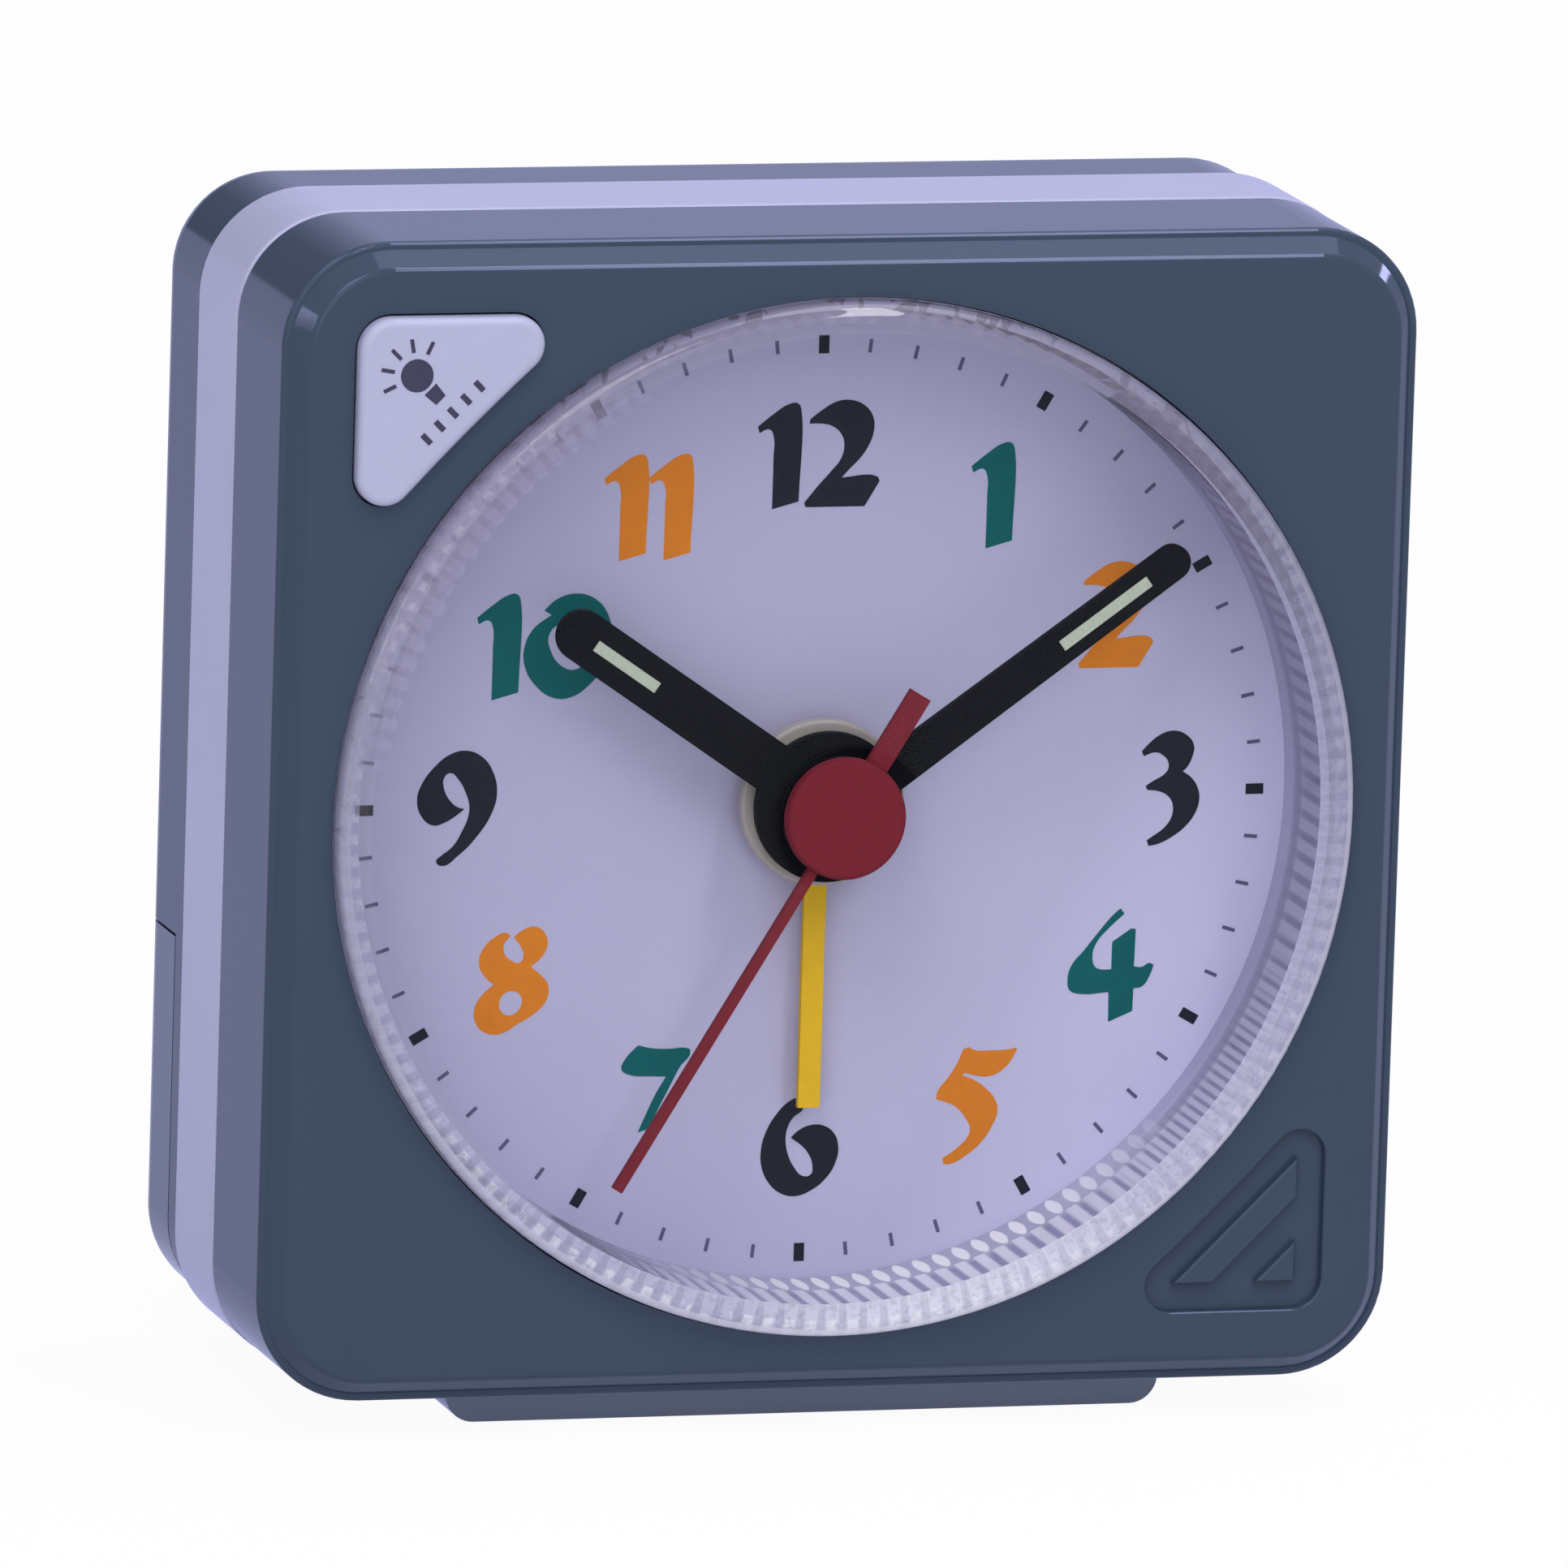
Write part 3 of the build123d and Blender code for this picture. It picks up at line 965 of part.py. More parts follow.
with BuildPart() as minute_hand_lume:
    lume_slot(MINUTE_LUME, LUME_THICK, minute_front + LUME_SINK - LUME_THICK, MINUTE_ANGLE, Mode.ADD)
minute_hand_lume.part.label = "minute_hand_lume"
export_step(minute_hand_lume.part, "parts/minute_hand_lume.step")

# Second hand: thin blade with a broader tail behind a round cap
with BuildPart() as second_hand:
    cap_back = second_front + SECOND_HUB_THICK
    disc(SECOND_HUB, second_front, cap_back)
    fillet(second_hand.edges().group_by(Axis.Y)[0], EDGE_ROUND)
    with BuildSketch(facing(cap_back, turn=SECOND_ANGLE)):
        with Locations((0, SECOND_REACH / 2)):
            Rectangle(SECOND_WIDTH, SECOND_REACH)
        with Locations((0, -SECOND_TAIL / 2)):
            Rectangle(TAIL_WIDTH, SECOND_TAIL)
    extrude(amount=SECOND_THICK)
    disc(2 * SECOND_ARBOR, cap_back, minute_front - LAYER_GAP)
    disc(SECOND_ARBOR + RUN_GAP, second_tip, minute_front, mode=Mode.SUBTRACT)
second_hand.part.label = "second_hand"
export_step(second_hand.part, "parts/second_hand.step")

# Alarm hand: fixed on the alarm pipe under the collet
alarm_front = DIAL_DEPTH - ALARM_HEIGHT
with BuildPart() as alarm_hand:
    with BuildSketch(facing(alarm_front + ALARM_THICK, turn=ALARM_ANGLE)):
        Circle(ALARM_HUB)
        with Locations((0, ALARM_REACH / 2)):
            Rectangle(ALARM_WIDTH, ALARM_REACH)
        Circle(ALARM_PIPE + RUN_GAP, mode=Mode.SUBTRACT)
    extrude(amount=ALARM_THICK)
alarm_hand.part.label = "alarm_hand"
export_step(alarm_hand.part, "parts/alarm_hand.step")

# Stator: yoke plate round the magnet with a core bar for the coil
stator_front = (magnet_front + magnet_back - STATOR_THICK) / 2
stator_back = stator_front + STATOR_THICK
stator_bottom = ROTOR_AT[1] - MAGNET_RADIUS - MAGNET_GAP - STATOR_RIM
with BuildPart() as stator:
    yoke_top = ROTOR_AT[1] + STATOR_YOKE
    core_up = yoke_top + COIL_HEIGHT / 2 + FIT_GAP
    stator_top = core_up + CORE_HEIGHT / 2
    with BuildSketch(facing(stator_back, ROTOR_AT[0])):
        with Locations((0, (stator_bottom + stator_top) / 2)):
            Rectangle(2 * STATOR_REACH, stator_top - stator_bottom)
        gap_top = core_up - CORE_HEIGHT / 2
        with Locations((0, (yoke_top + gap_top) / 2)):
            Rectangle(COIL_LENGTH + 2 * FIT_GAP, gap_top - yoke_top, mode=Mode.SUBTRACT)
        with Locations((0, ROTOR_AT[1])):
            Circle(MAGNET_RADIUS + MAGNET_GAP, mode=Mode.SUBTRACT)
    extrude(amount=STATOR_THICK)
stator.part.label = "stator"
export_step(stator.part, "parts/stator.step")

# Motor coil: winding round the core bar
core_middle = (stator_front + stator_back) / 2
with BuildPart() as motor_coil:
    coil_at = (ROTOR_AT[0], core_up)
    block(COIL_LENGTH, COIL_HEIGHT, core_middle - COIL_DEPTH / 2, core_middle + COIL_DEPTH / 2, coil_at)
    fillet(motor_coil.edges().filter_by(Axis.X), COIL_DEPTH / 4)
    block(COIL_LENGTH, CORE_HEIGHT, stator_front, stator_back, coil_at, Mode.SUBTRACT)
motor_coil.part.label = "motor_coil"
export_step(motor_coil.part, "parts/motor_coil.step")

# Circuit board with the chip's cap and the crystal can
with BuildPart() as circuit_board:
    block(BOARD_WIDTH, BOARD_HEIGHT, PLATE_BACK, BOARD_BACK, (0, BOARD_UP))
circuit_board.part.label = "circuit_board"
export_step(circuit_board.part, "parts/circuit_board.step")

with BuildPart() as chip_cap:
    disc(CHIP_RADIUS, BOARD_BACK, BOARD_BACK + CHIP_HEIGHT, (-BOARD_WIDTH / 4, BOARD_UP))
    fillet(chip_cap.edges().group_by(Axis.Y)[-1], CHIP_HEIGHT / 2)
chip_cap.part.label = "chip_cap"
export_step(chip_cap.part, "parts/chip_cap.step")

with BuildPart() as quartz_crystal:
    with BuildSketch(crosswise(BOARD_WIDTH / 8, BOARD_BACK + CRYSTAL_RADIUS, BOARD_UP)):
        Circle(CRYSTAL_RADIUS)
    extrude(amount=CRYSTAL_LENGTH)
    fillet(quartz_crystal.edges().sort_by(Axis.X)[-1], CRYSTAL_RADIUS / 3)
quartz_crystal.part.label = "quartz_crystal"
export_step(quartz_crystal.part, "parts/quartz_crystal.step")

# Buzzer: brass disc with its ceramic, in the ring behind the sound slots
with BuildPart() as buzzer:
    buzzer_back = REAR_WALL - BUZZER_LEDGE
    disc(BUZZER_RADIUS, buzzer_back - BUZZER_THICK, buzzer_back, buzzer_at)
    disc(CERAMIC_RADIUS, buzzer_back - 2 * BUZZER_THICK, buzzer_back - BUZZER_THICK, buzzer_at)
buzzer.part.label = "buzzer"
export_step(buzzer.part, "parts/buzzer.step")

# AA cell lying in the saddles of the bay, with a contact at each end
cell_left = -(CELL_LENGTH + NUB_LENGTH) / 2
with BuildPart() as battery:
    with BuildSketch(crosswise(cell_left, CELL_DEPTH, CELL_UP)):
        Circle(CELL_RADIUS)
    extrude(amount=CELL_LENGTH)
    fillet(battery.edges(), CONTACT_THICK)
    with BuildSketch(crosswise(cell_left + CELL_LENGTH, CELL_DEPTH, CELL_UP)):
        Circle(NUB_RADIUS)
    extrude(amount=NUB_LENGTH)
battery.part.label = "battery"
export_step(battery.part, "parts/battery.step")

with BuildPart() as battery_contact_positive:
    with BuildSketch(crosswise(BAY_HALF - CONTACT_THICK, CELL_DEPTH, CELL_UP)):
        Rectangle(CONTACT_WIDTH, CONTACT_HEIGHT)
    extrude(amount=CONTACT_THICK)
battery_contact_positive.part.label = "battery_contact_positive"
export_step(battery_contact_positive.part, "parts/battery_contact_positive.step")

with BuildPart() as battery_contact_negative:
    with BuildSketch(crosswise(-BAY_HALF, CELL_DEPTH, CELL_UP)):
        Rectangle(CONTACT_WIDTH, CONTACT_HEIGHT)
    extrude(amount=CONTACT_THICK)
    with BuildSketch(crosswise(CONTACT_THICK - BAY_HALF, CELL_DEPTH, CELL_UP)):
        Circle(NUB_RADIUS)
    extrude(amount=CONTACT_THICK)
battery_contact_negative.part.label = "battery_contact_negative"
export_step(battery_contact_negative.part, "parts/battery_contact_negative.step")


def screws(places, seat, length):
    """Like screws driven from the back: heads behind the seat, shanks in front of it."""
    for at in places:
        disc(SCREW_HEAD, seat, seat + SCREW_HEAD_THICK, at)
        disc(SCREW_RADIUS, seat - length, seat, at)
        disc(SCREW_RADIUS, seat + SCREW_HEAD_THICK / 2, seat + SCREW_HEAD_THICK, at, Mode.SUBTRACT)


# Screws: chassis to bezel, rear plate to pillars, rear case to ring
with BuildPart() as chassis_screws:
    screws(CHASSIS_SCREWS, CHASSIS_BACK, CHASSIS_SCREW_LENGTH + CHASSIS_THICK)
chassis_screws.part.label = "chassis_screws"
export_step(chassis_screws.part, "parts/chassis_screws.step")

with BuildPart() as plate_screws:
    screws(PILLARS, PLATE_BACK, PLATE_SCREW_LENGTH)
plate_screws.part.label = "plate_screws"
export_step(plate_screws.part, "parts/plate_screws.step")

with BuildPart() as case_screws:
    screws(CASE_SCREWS, CASE_SEAT, CASE_SCREW_LENGTH)
case_screws.part.label = "case_screws"
export_step(case_screws.part, "parts/case_screws.step")
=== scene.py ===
import math

import bmesh
import bpy
from mathutils import Matrix, Vector


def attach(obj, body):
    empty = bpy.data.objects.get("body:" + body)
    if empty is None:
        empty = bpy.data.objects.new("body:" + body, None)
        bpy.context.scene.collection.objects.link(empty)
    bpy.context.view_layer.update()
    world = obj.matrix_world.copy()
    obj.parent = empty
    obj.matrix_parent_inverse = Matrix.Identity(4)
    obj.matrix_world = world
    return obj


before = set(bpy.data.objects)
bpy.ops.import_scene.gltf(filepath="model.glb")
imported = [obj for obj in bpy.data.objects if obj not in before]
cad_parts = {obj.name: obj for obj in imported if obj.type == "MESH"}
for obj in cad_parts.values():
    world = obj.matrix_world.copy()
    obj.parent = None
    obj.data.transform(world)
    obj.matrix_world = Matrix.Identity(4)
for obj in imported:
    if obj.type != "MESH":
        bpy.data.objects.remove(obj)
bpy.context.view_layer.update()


# Dial tray: the pale cup that carries the dial and the lens, moulded in lavender styrene.
# It drops in from behind and its flange is clamped between the bezel and the movement.
class Wire:
    """An output of one material's nodes; sums on it add Math nodes."""

    def __init__(self, tree, socket=None):
        self.tree = tree
        self.socket = socket

    def add(self, kind, sockets=(), out=0, **settings):
        """Adds a node, sets or wires its inputs, and gives a wire on one of its outputs."""
        made = self.tree.nodes.new("ShaderNode" + kind)
        for name, value in settings.items():
            setattr(made, name, value)
        for name, value in dict(sockets).items():
            if isinstance(value, Wire):
                self.tree.links.new(value.socket, made.inputs[name])
            else:
                made.inputs[name].default_value = value
        return Wire(self.tree, made.outputs[out]) if made.outputs else None

    def sum(self, operation, *others):
        return self.add("Math", enumerate((self, *others)), operation=operation)

    def __add__(self, other):
        return self.sum("ADD", other)

    def __sub__(self, other):
        return self.sum("SUBTRACT", other)

    def __rsub__(self, other):
        return self.add("Math", enumerate((other, self)), operation="SUBTRACT")

    def __mul__(self, other):
        return self.sum("MULTIPLY", other)

    def __truediv__(self, other):
        return self.sum("DIVIDE", other)

    def __gt__(self, other):
        return self.sum("GREATER_THAN", other)

    def __lt__(self, other):
        return self.sum("LESS_THAN", other)

    def between(self, least, most):
        return self.sum("MAXIMUM", least).sum("MINIMUM", most)

    def rise(self, start, slope):
        """Share that climbs from 0 at the start with this slope and stays at 1."""
        return ((self - start) * slope).between(0.0, 1.0)

    def mottle(self, tint, spread):
        """This colour, darker by a share where the wire is 0 and lighter where it is 1."""
        return self.mix(shade(tint, 1 - spread), shade(tint, 1 + spread))

    def most(self, *others):
        top = self
        for other in others:
            top = top.sum("MAXIMUM", other)
        return top

    def mix(self, first, second):
        """Colour between two others, this wire being the share of the second."""
        return self.add("Mix", {0: self, 6: first, 7: second}, 2, data_type="RGBA")

    def noise(self, grain, detail=2.0):
        """Cloudy grain of about this size in metres, on this wire's coordinates."""
        return self.add("TexNoise", {"Vector": self, "Scale": 1 / grain, "Detail": detail})

    def relief(self, height):
        """Normal of a surface whose height in metres is this wire times the given height."""
        return self.add("Bump", {"Height": self, "Strength": 1.0, "Distance": height})


def colour(red, green, blue):
    """Linear colour of a paint sample given in display steps, 0 to 255."""
    steps = [part / 255 for part in (red, green, blue)]
    return (*[s / 12.92 if s <= 0.04045 else ((s + 0.055) / 1.055) ** 2.4 for s in steps], 1)


def shade(tint, share):
    """The same colour, darker or lighter by a share."""
    return (*[part * share for part in tint[:3]], 1)


def open_finish(name):
    """An empty material and a wire on its coordinates, which are the clock's own, in metres."""
    material = bpy.data.materials.new(name)
    material.use_nodes = True
    material.node_tree.nodes.clear()
    return material, Wire(material.node_tree).add("TexCoord", out="Object")


def coat(place, properties):
    """Ends a material with one layer of these properties."""
    place.add("OutputMaterial", {"Surface": place.add("BsdfPrincipled", properties)})


FLOW_GRAIN, FLOW_DRIFT = 0.009, 0.05
SHEEN_SPREAD = 0.06
PLASTIC_IOR = 1.42


def moulded(name, tint, rough, gleam=(0.8, 0.8, 0.9, 1), grain=0.00022, relief=0.000004):
    """Injection moulded plastic: faint flow clouds, a fine spark grain and a tinted gloss on top."""
    material, place = open_finish(name)
    clouds = place.noise(FLOW_GRAIN, 3.0)
    sparks = place.noise(grain)
    skin = sparks.relief(relief)
    plastic = place.add("BsdfPrincipled", {
        "Base Color": clouds.mottle(tint, FLOW_DRIFT),
        "Roughness": 0.8,
        "Specular IOR Level": 0.0,
        "Normal": skin,
    })
    gloss = place.add("BsdfGlossy", {
        "Color": gleam,
        "Roughness": sparks * SHEEN_SPREAD + clouds * SHEEN_SPREAD + (rough - SHEEN_SPREAD),
        "Normal": skin,
    })
    mirrored = place.add("Fresnel", {"IOR": PLASTIC_IOR})
    surface = place.add("MixShader", {0: mirrored, 1: plastic, 2: gloss})
    place.add("OutputMaterial", {"Surface": surface})
    return material


def dress(material, *nodes):
    """Puts one finish on these solids."""
    for node in nodes:
        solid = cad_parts[node]
        solid.data.materials.clear()
        solid.data.materials.append(material)


tray_plastic = moulded("tray_plastic", colour(186, 184, 214), 0.45)
dress(tray_plastic, "dial_tray")


# Dial: a stamped card disc, printed lavender with a faint sheen, held down by the lens skirt.
# Its colour is painted paler towards the lower right and paler still at the far right: painted light where
# the lens throws light on it. The minute track, twelve blocks and forty-eight ticks, stands a hair proud of it.
FACE = -0.015
AXIS = 0.032
DIAL_FRONT = FACE + 0.0064
INK = 0.00002
PRINT_DROP = -0.00024
PRINT_TURN = -0.18
DEGREES_PER_MINUTE = 6
MARK_RADIUS = 0.0237
MARK_SIZE = (0.00055, 0.00095)
TICK_SIZE = (0.00019, 0.0007)
FLAKE_GRAIN, CLOUD_GRAIN = 0.00012, 0.012
FLAKE_SHARE, CLOUD_SHARE = 0.5, 0.3
PAINTED_LIGHT_SLOPE, PAINTED_LIGHT_START = 12.0, 0.1
PAINTED_LIT_ACROSS, PAINTED_LIT_DOWN = 0.9, 0.44
PAINTED_LIT_START, PAINTED_LIT_SLOPE, PAINTED_LIT_SHARE = 0.0145, 125.0, 0.75
CARD_DARK, CARD_PALE, CARD_PAINTED_LIT = colour(166, 165, 198), colour(184, 181, 213), colour(203, 201, 233)


def split(place):
    """The three coordinates of a place."""
    parts = place.add("SeparateXYZ", {0: place})
    return [Wire(place.tree, parts.socket.node.outputs[k]) for k in range(3)]


card, place = open_finish("dial_card")
flakes = place.noise(FLAKE_GRAIN, 4.0)
clouds = place.noise(CLOUD_GRAIN)
across, _, height = split(place)
height = height - AXIS
# Painted light: the card's colour grows paler towards the lower right.
painted_light_drift = (across - height) * PAINTED_LIGHT_SLOPE + PAINTED_LIGHT_START
tint = (flakes * FLAKE_SHARE + clouds * CLOUD_SHARE + painted_light_drift).mix(CARD_DARK, CARD_PALE)
# Painted light: a paler patch at the far right of the card.
painted_light_patch = (across * PAINTED_LIT_ACROSS - height * PAINTED_LIT_DOWN).rise(PAINTED_LIT_START, PAINTED_LIT_SLOPE)
coat(place, {
    "Base Color": (painted_light_patch * PAINTED_LIT_SHARE).mix(tint, CARD_PAINTED_LIT),
    "Roughness": flakes * 0.2 + 0.42,
    "Specular IOR Level": 0.25,
    "Normal": flakes.relief(0.000002),
})
dress(card, "dial")

INK_GRAIN, INK_SPREAD = 0.0004, 0.12
OUTLINE_STEPS, MERGE_DISTANCE = 5, 1e-7


def inked(name, tint):
    """Screen printing ink: slightly uneven in density, with the mesh's faint texture."""
    material, place = open_finish(name)
    density = place.noise(INK_GRAIN, 3.0)
    coat(place, {
        "Base Color": density.mottle(tint, INK_SPREAD),
        "Roughness": density * 0.2 + 0.5,
        "Specular IOR Level": 0.08,
        "Normal": density.relief(0.000002),
    })
    return material


def piece(name, mesh, material, body):
    """A new piece of the clock, riding on one of its bodies."""
    made = bpy.data.objects.new(name, mesh)
    bpy.context.scene.collection.objects.link(made)
    mesh.materials.clear()
    mesh.materials.append(material)
    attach(made, body)


def flat_curve(name):
    """An empty filled curve in one plane."""
    curve = bpy.data.curves.new(name, "CURVE")
    curve.dimensions = "2D"
    curve.fill_mode = "BOTH"
    return curve


def meshed(curve):
    """The mesh of a curve, which is then dropped."""
    carrier = bpy.data.objects.new(curve.name, curve)
    bpy.context.scene.collection.objects.link(carrier)
    bpy.context.view_layer.update()
    mesh = bpy.data.meshes.new_from_object(carrier)
    bpy.data.objects.remove(carrier)
    bpy.data.curves.remove(curve)
    return mesh


def upright_at(depth):
    """Stands a drawing up at this depth, its middle on the dial's axis."""
    return Matrix.Translation((0, depth, AXIS)) @ Matrix.Rotation(math.pi / 2, 4, "X")


def printed(name, shapes, front, material, body):
    """Flat print in one colour: each shape is a list of outlines, seen from the front, in metres.
    An outline is a list of points, smooth unless a third value makes it a corner."""
    sheet = bmesh.new()
    for outlines in shapes:
        curve = flat_curve(name)
        curve.resolution_u = OUTLINE_STEPS
        curve.extrude = INK / 2
        for outline in outlines:
            spline = curve.splines.new("BEZIER")
            spline.bezier_points.add(len(outline) - 1)
            spline.use_cyclic_u = True
            for point, (x, up, *corner) in zip(spline.bezier_points, outline):
                point.co = (x, up, 0)
                point.handle_left_type = point.handle_right_type = "VECTOR" if corner else "AUTO"
        flat = meshed(curve)
        sheet.from_mesh(flat)
        bpy.data.meshes.remove(flat)
    bmesh.ops.remove_doubles(sheet, verts=sheet.verts, dist=MERGE_DISTANCE)
    bmesh.ops.transform(sheet, matrix=upright_at(front - INK / 2), verts=sheet.verts)
    mesh = bpy.data.meshes.new(name)
    sheet.to_mesh(mesh)
    sheet.free()
    piece(name, mesh, material, body)


def block(radius, minute, size):
    """Corners of a small block on the minute track, pointing at the dial's axis."""
    turn = math.radians(DEGREES_PER_MINUTE * minute + PRINT_TURN)
    out = Vector((math.sin(turn), math.cos(turn)))
    side = Vector((out.y, -out.x))
    ends = ((-1, -1), (1, -1), (1, 1), (-1, 1))
    corners = [out * (radius + b * size[1] / 2) + side * (a * size[0] / 2) for a, b in ends]
    return [(c.x, c.y + PRINT_DROP, 1) for c in corners]


black_ink = inked("black_ink", colour(28, 30, 44))
tick_ink = inked("tick_ink", colour(92, 88, 124))
hour_blocks = [[block(MARK_RADIUS, minute, MARK_SIZE)] for minute in range(0, 60, 5)]
minute_ticks = [[block(MARK_RADIUS, minute, TICK_SIZE)] for minute in range(60) if minute % 5]
printed("hour_blocks", hour_blocks, DIAL_FRONT, black_ink, "case")
printed("minute_ticks", minute_ticks, DIAL_FRONT, tick_ink, "case")


# Numerals: figures of a broad pen, screen printed on the dial in black, green and orange ink.
# Each is drawn in millimetres about its own middle; a third value makes a point a sharp corner.
MM_PER_METRE = 1000
green_ink = inked("green_ink", colour(0, 90, 94))
orange_ink = inked("orange_ink", colour(208, 122, 36))
FIGURES = {
    "0": [[(-1.5, 1.9, 1), (-0.85, 2.47), (0.2, 2.75), (1.2, 2.45), (1.9, 1.6), (2.1, 0.4), (1.8, -0.9),
           (1.0, -2.0), (0.0, -2.65), (-0.9, -2.65), (-1.85, -2.0), (-2.45, -1.0), (-2.5, 0.0), (-2.05, 0.95),
           (-1.35, 1.5), (-1.1, 1.65, 1)],
          [(-1.2, 0.65), (-1.1, -0.2), (-0.5, -1.0), (0.25, -1.2), (0.75, -0.7), (0.7, 0.2), (0.25, 1.0),
           (-0.55, 1.2)]],
    "1": [[(-0.7, -2.75, 1), (0.7, -2.36, 1), (0.72, 2.3), (0.52, 2.73), (0.05, 2.7), (-0.75, 2.2),
           (-1.58, 1.55, 1), (-1.48, 1.22, 1), (-0.95, 1.4), (-0.72, 1.0), (-0.7, 0.0)]],
    "2": [[(-1.82, 1.68, 1), (-1.78, 1.92, 1), (-1.1, 2.42), (-0.41, 2.8), (0.29, 2.88), (1.07, 2.6),
           (1.54, 2.02), (1.62, 1.32), (1.38, 0.54), (0.9, -0.18), (0.37, -0.71), (-0.02, -1.15, 1),
           (1.85, -1.12), (2.0, -1.36, 1), (1.23, -2.66, 1), (-1.9, -2.66, 1), (-1.98, -2.43, 1),
           (-1.2, -1.48), (-0.57, -0.78), (-0.1, -0.18), (0.06, 0.54), (-0.1, 1.09), (-0.57, 1.51),
           (-1.1, 1.66)]],
    "3": [[(-1.3, 1.66, 1), (-1.42, 1.92, 1), (-1.06, 2.3), (-0.44, 2.78), (0.27, 2.97), (0.89, 2.78),
           (1.36, 2.23), (1.31, 1.6), (1.05, 1.06), (0.82, 0.83, 1), (1.28, 0.5), (1.67, -0.1), (1.75, -0.66),
           (1.56, -1.36), (1.05, -2.06), (0.34, -2.6), (-0.44, -2.97), (-0.9, -3.05, 1), (-1.0, -2.75, 1),
           (-0.67, -2.53), (-0.12, -2.14), (0.27, -1.6), (0.34, -0.97), (0.11, -0.5), (-0.44, -0.19),
           (-1.04, -0.12, 1), (-1.16, 0.09, 1), (-0.75, 0.36), (-0.2, 0.67), (0.03, 0.98), (0.0, 1.38),
           (-0.28, 1.69), (-0.67, 1.85)]],
    "4": [[(0.24, 3.2, 1), (0.45, 2.92, 1), (-0.35, 2.2), (-1.05, 1.35), (-1.2, 0.7), (-1.05, 0.18),
           (-0.72, 0.02), (-0.17, 0.02, 1), (-0.17, 1.45, 1), (0.84, 2.14, 1), (1.08, 2.1, 1), (1.04, 0.15, 1),
           (1.45, 0.1), (1.86, 0.3), (2.1, 0.2, 1), (1.95, -0.25), (1.52, -0.92), (1.05, -1.02, 1),
           (1.03, -2.2, 1), (-0.25, -2.75, 1), (-0.28, -1.18, 1), (-1.9, -1.23), (-2.36, -1.05),
           (-2.5, -0.45), (-2.32, 0.25), (-1.66, 1.05), (-0.8, 2.13), (-0.05, 2.98)]],
    "5": [[(-0.67, 3.1, 1), (-0.36, 2.94), (0.5, 2.9), (1.5, 2.94), (1.92, 3.02, 1), (1.8, 2.7), (1.28, 1.97),
           (0.5, 1.55), (-0.12, 1.58), (-0.83, 1.75, 1), (-0.98, 1.62, 1), (-0.44, 1.42), (0.27, 0.95),
           (0.81, 0.33), (0.97, -0.3), (0.73, -1.0), (0.19, -1.86), (-0.6, -2.56), (-1.53, -3.03),
           (-1.84, -3.0, 1), (-1.9, -2.72, 1), (-1.22, -2.25), (-0.6, -1.63), (-0.47, -1.16), (-0.75, -0.6),
           (-1.22, -0.06), (-1.84, 0.25), (-2.32, 0.4, 1), (-2.3, 0.75), (-1.69, 1.58), (-1.22, 2.36),
           (-0.98, 2.98, 1)]],
    "6": [[(-0.25, 2.65), (0.05, 2.42), (0.08, 2.1), (-0.48, 1.6), (-0.75, 1.06), (-0.82, 0.45), (-0.66, -0.34),
           (-0.33, -0.97), (0.14, -1.44), (0.58, -1.38), (0.66, -0.97), (0.45, -0.34), (-0.02, 0.2),
           (-0.33, 0.42), (-0.55, 0.58, 1), (-0.1, 0.98), (0.53, 1.22), (1.16, 1.18), (1.7, 0.83), (2.0, 0.12),
           (1.9, -0.73), (1.39, -1.6), (0.6, -2.22), (-0.25, -2.5), (-1.03, -2.32), (-1.66, -1.77),
           (-2.05, -0.97), (-2.12, -0.03), (-1.89, 0.9), (-1.34, 1.84), (-0.64, 2.52)]],
    "7": [[(-0.83, 1.62, 1), (-0.1, 1.45), (0.9, 1.4), (1.75, 1.42), (1.95, 1.3), (1.4, 0.4), (0.85, -0.7),
           (0.25, -1.9), (-0.1, -2.75, 1), (-0.72, -2.95, 1), (-0.4, -2.2), (0.15, -1.0), (0.7, -0.05, 1),
           (-0.12, -0.02), (-1.3, 0.1), (-1.68, 0.38), (-1.5, 0.9)]],
    "8": [[(-0.1, 2.42, 1), (0.5, 2.85), (1.08, 2.94), (1.58, 2.55), (1.7, 1.97), (1.39, 1.34), (0.84, 0.86, 1),
           (1.39, 0.42), (1.8, -0.14), (1.74, -0.86), (1.16, -1.55), (0.22, -2.12), (-0.64, -2.6),
           (-1.42, -2.56), (-1.97, -2.05), (-2.1, -1.39), (-1.8, -0.69), (-1.1, -0.03, 1), (-1.66, 0.5),
           (-1.9, 1.1), (-1.73, 1.8), (-1.1, 2.44), (-0.5, 2.66), (-0.28, 2.5, 1), (-0.6, 2.05), (-0.55, 1.55),
           (-0.15, 1.18), (0.22, 1.08), (0.45, 1.4), (0.28, 1.95)],
          [(-0.78, -1.05), (-0.55, -0.55), (-0.1, -0.38), (0.32, -0.6), (0.42, -1.05), (0.15, -1.5),
           (-0.25, -1.66), (-0.62, -1.48)]],
    "9": [[(-0.83, -2.52), (-0.55, -2.78), (0.34, -2.25), (1.28, -1.3), (2.06, -0.06), (2.3, 1.03), (2.06, 2.05),
           (1.5, 2.83), (0.66, 3.19), (-0.2, 3.03), (-1.06, 2.36), (-1.69, 1.5), (-1.92, 0.72), (-1.69, -0.14),
           (-1.06, -0.66), (-0.44, -0.53), (0.27, -0.1), (0.6, 0.17, 1), (0.27, 0.25), (-0.2, 0.64),
           (-0.52, 1.27), (-0.52, 1.8), (-0.2, 2.05), (0.27, 1.66), (0.66, 0.95), (0.84, 0.4), (0.81, -0.22),
           (0.5, -1.0), (0.03, -1.78), (-0.6, -2.28)]],
}
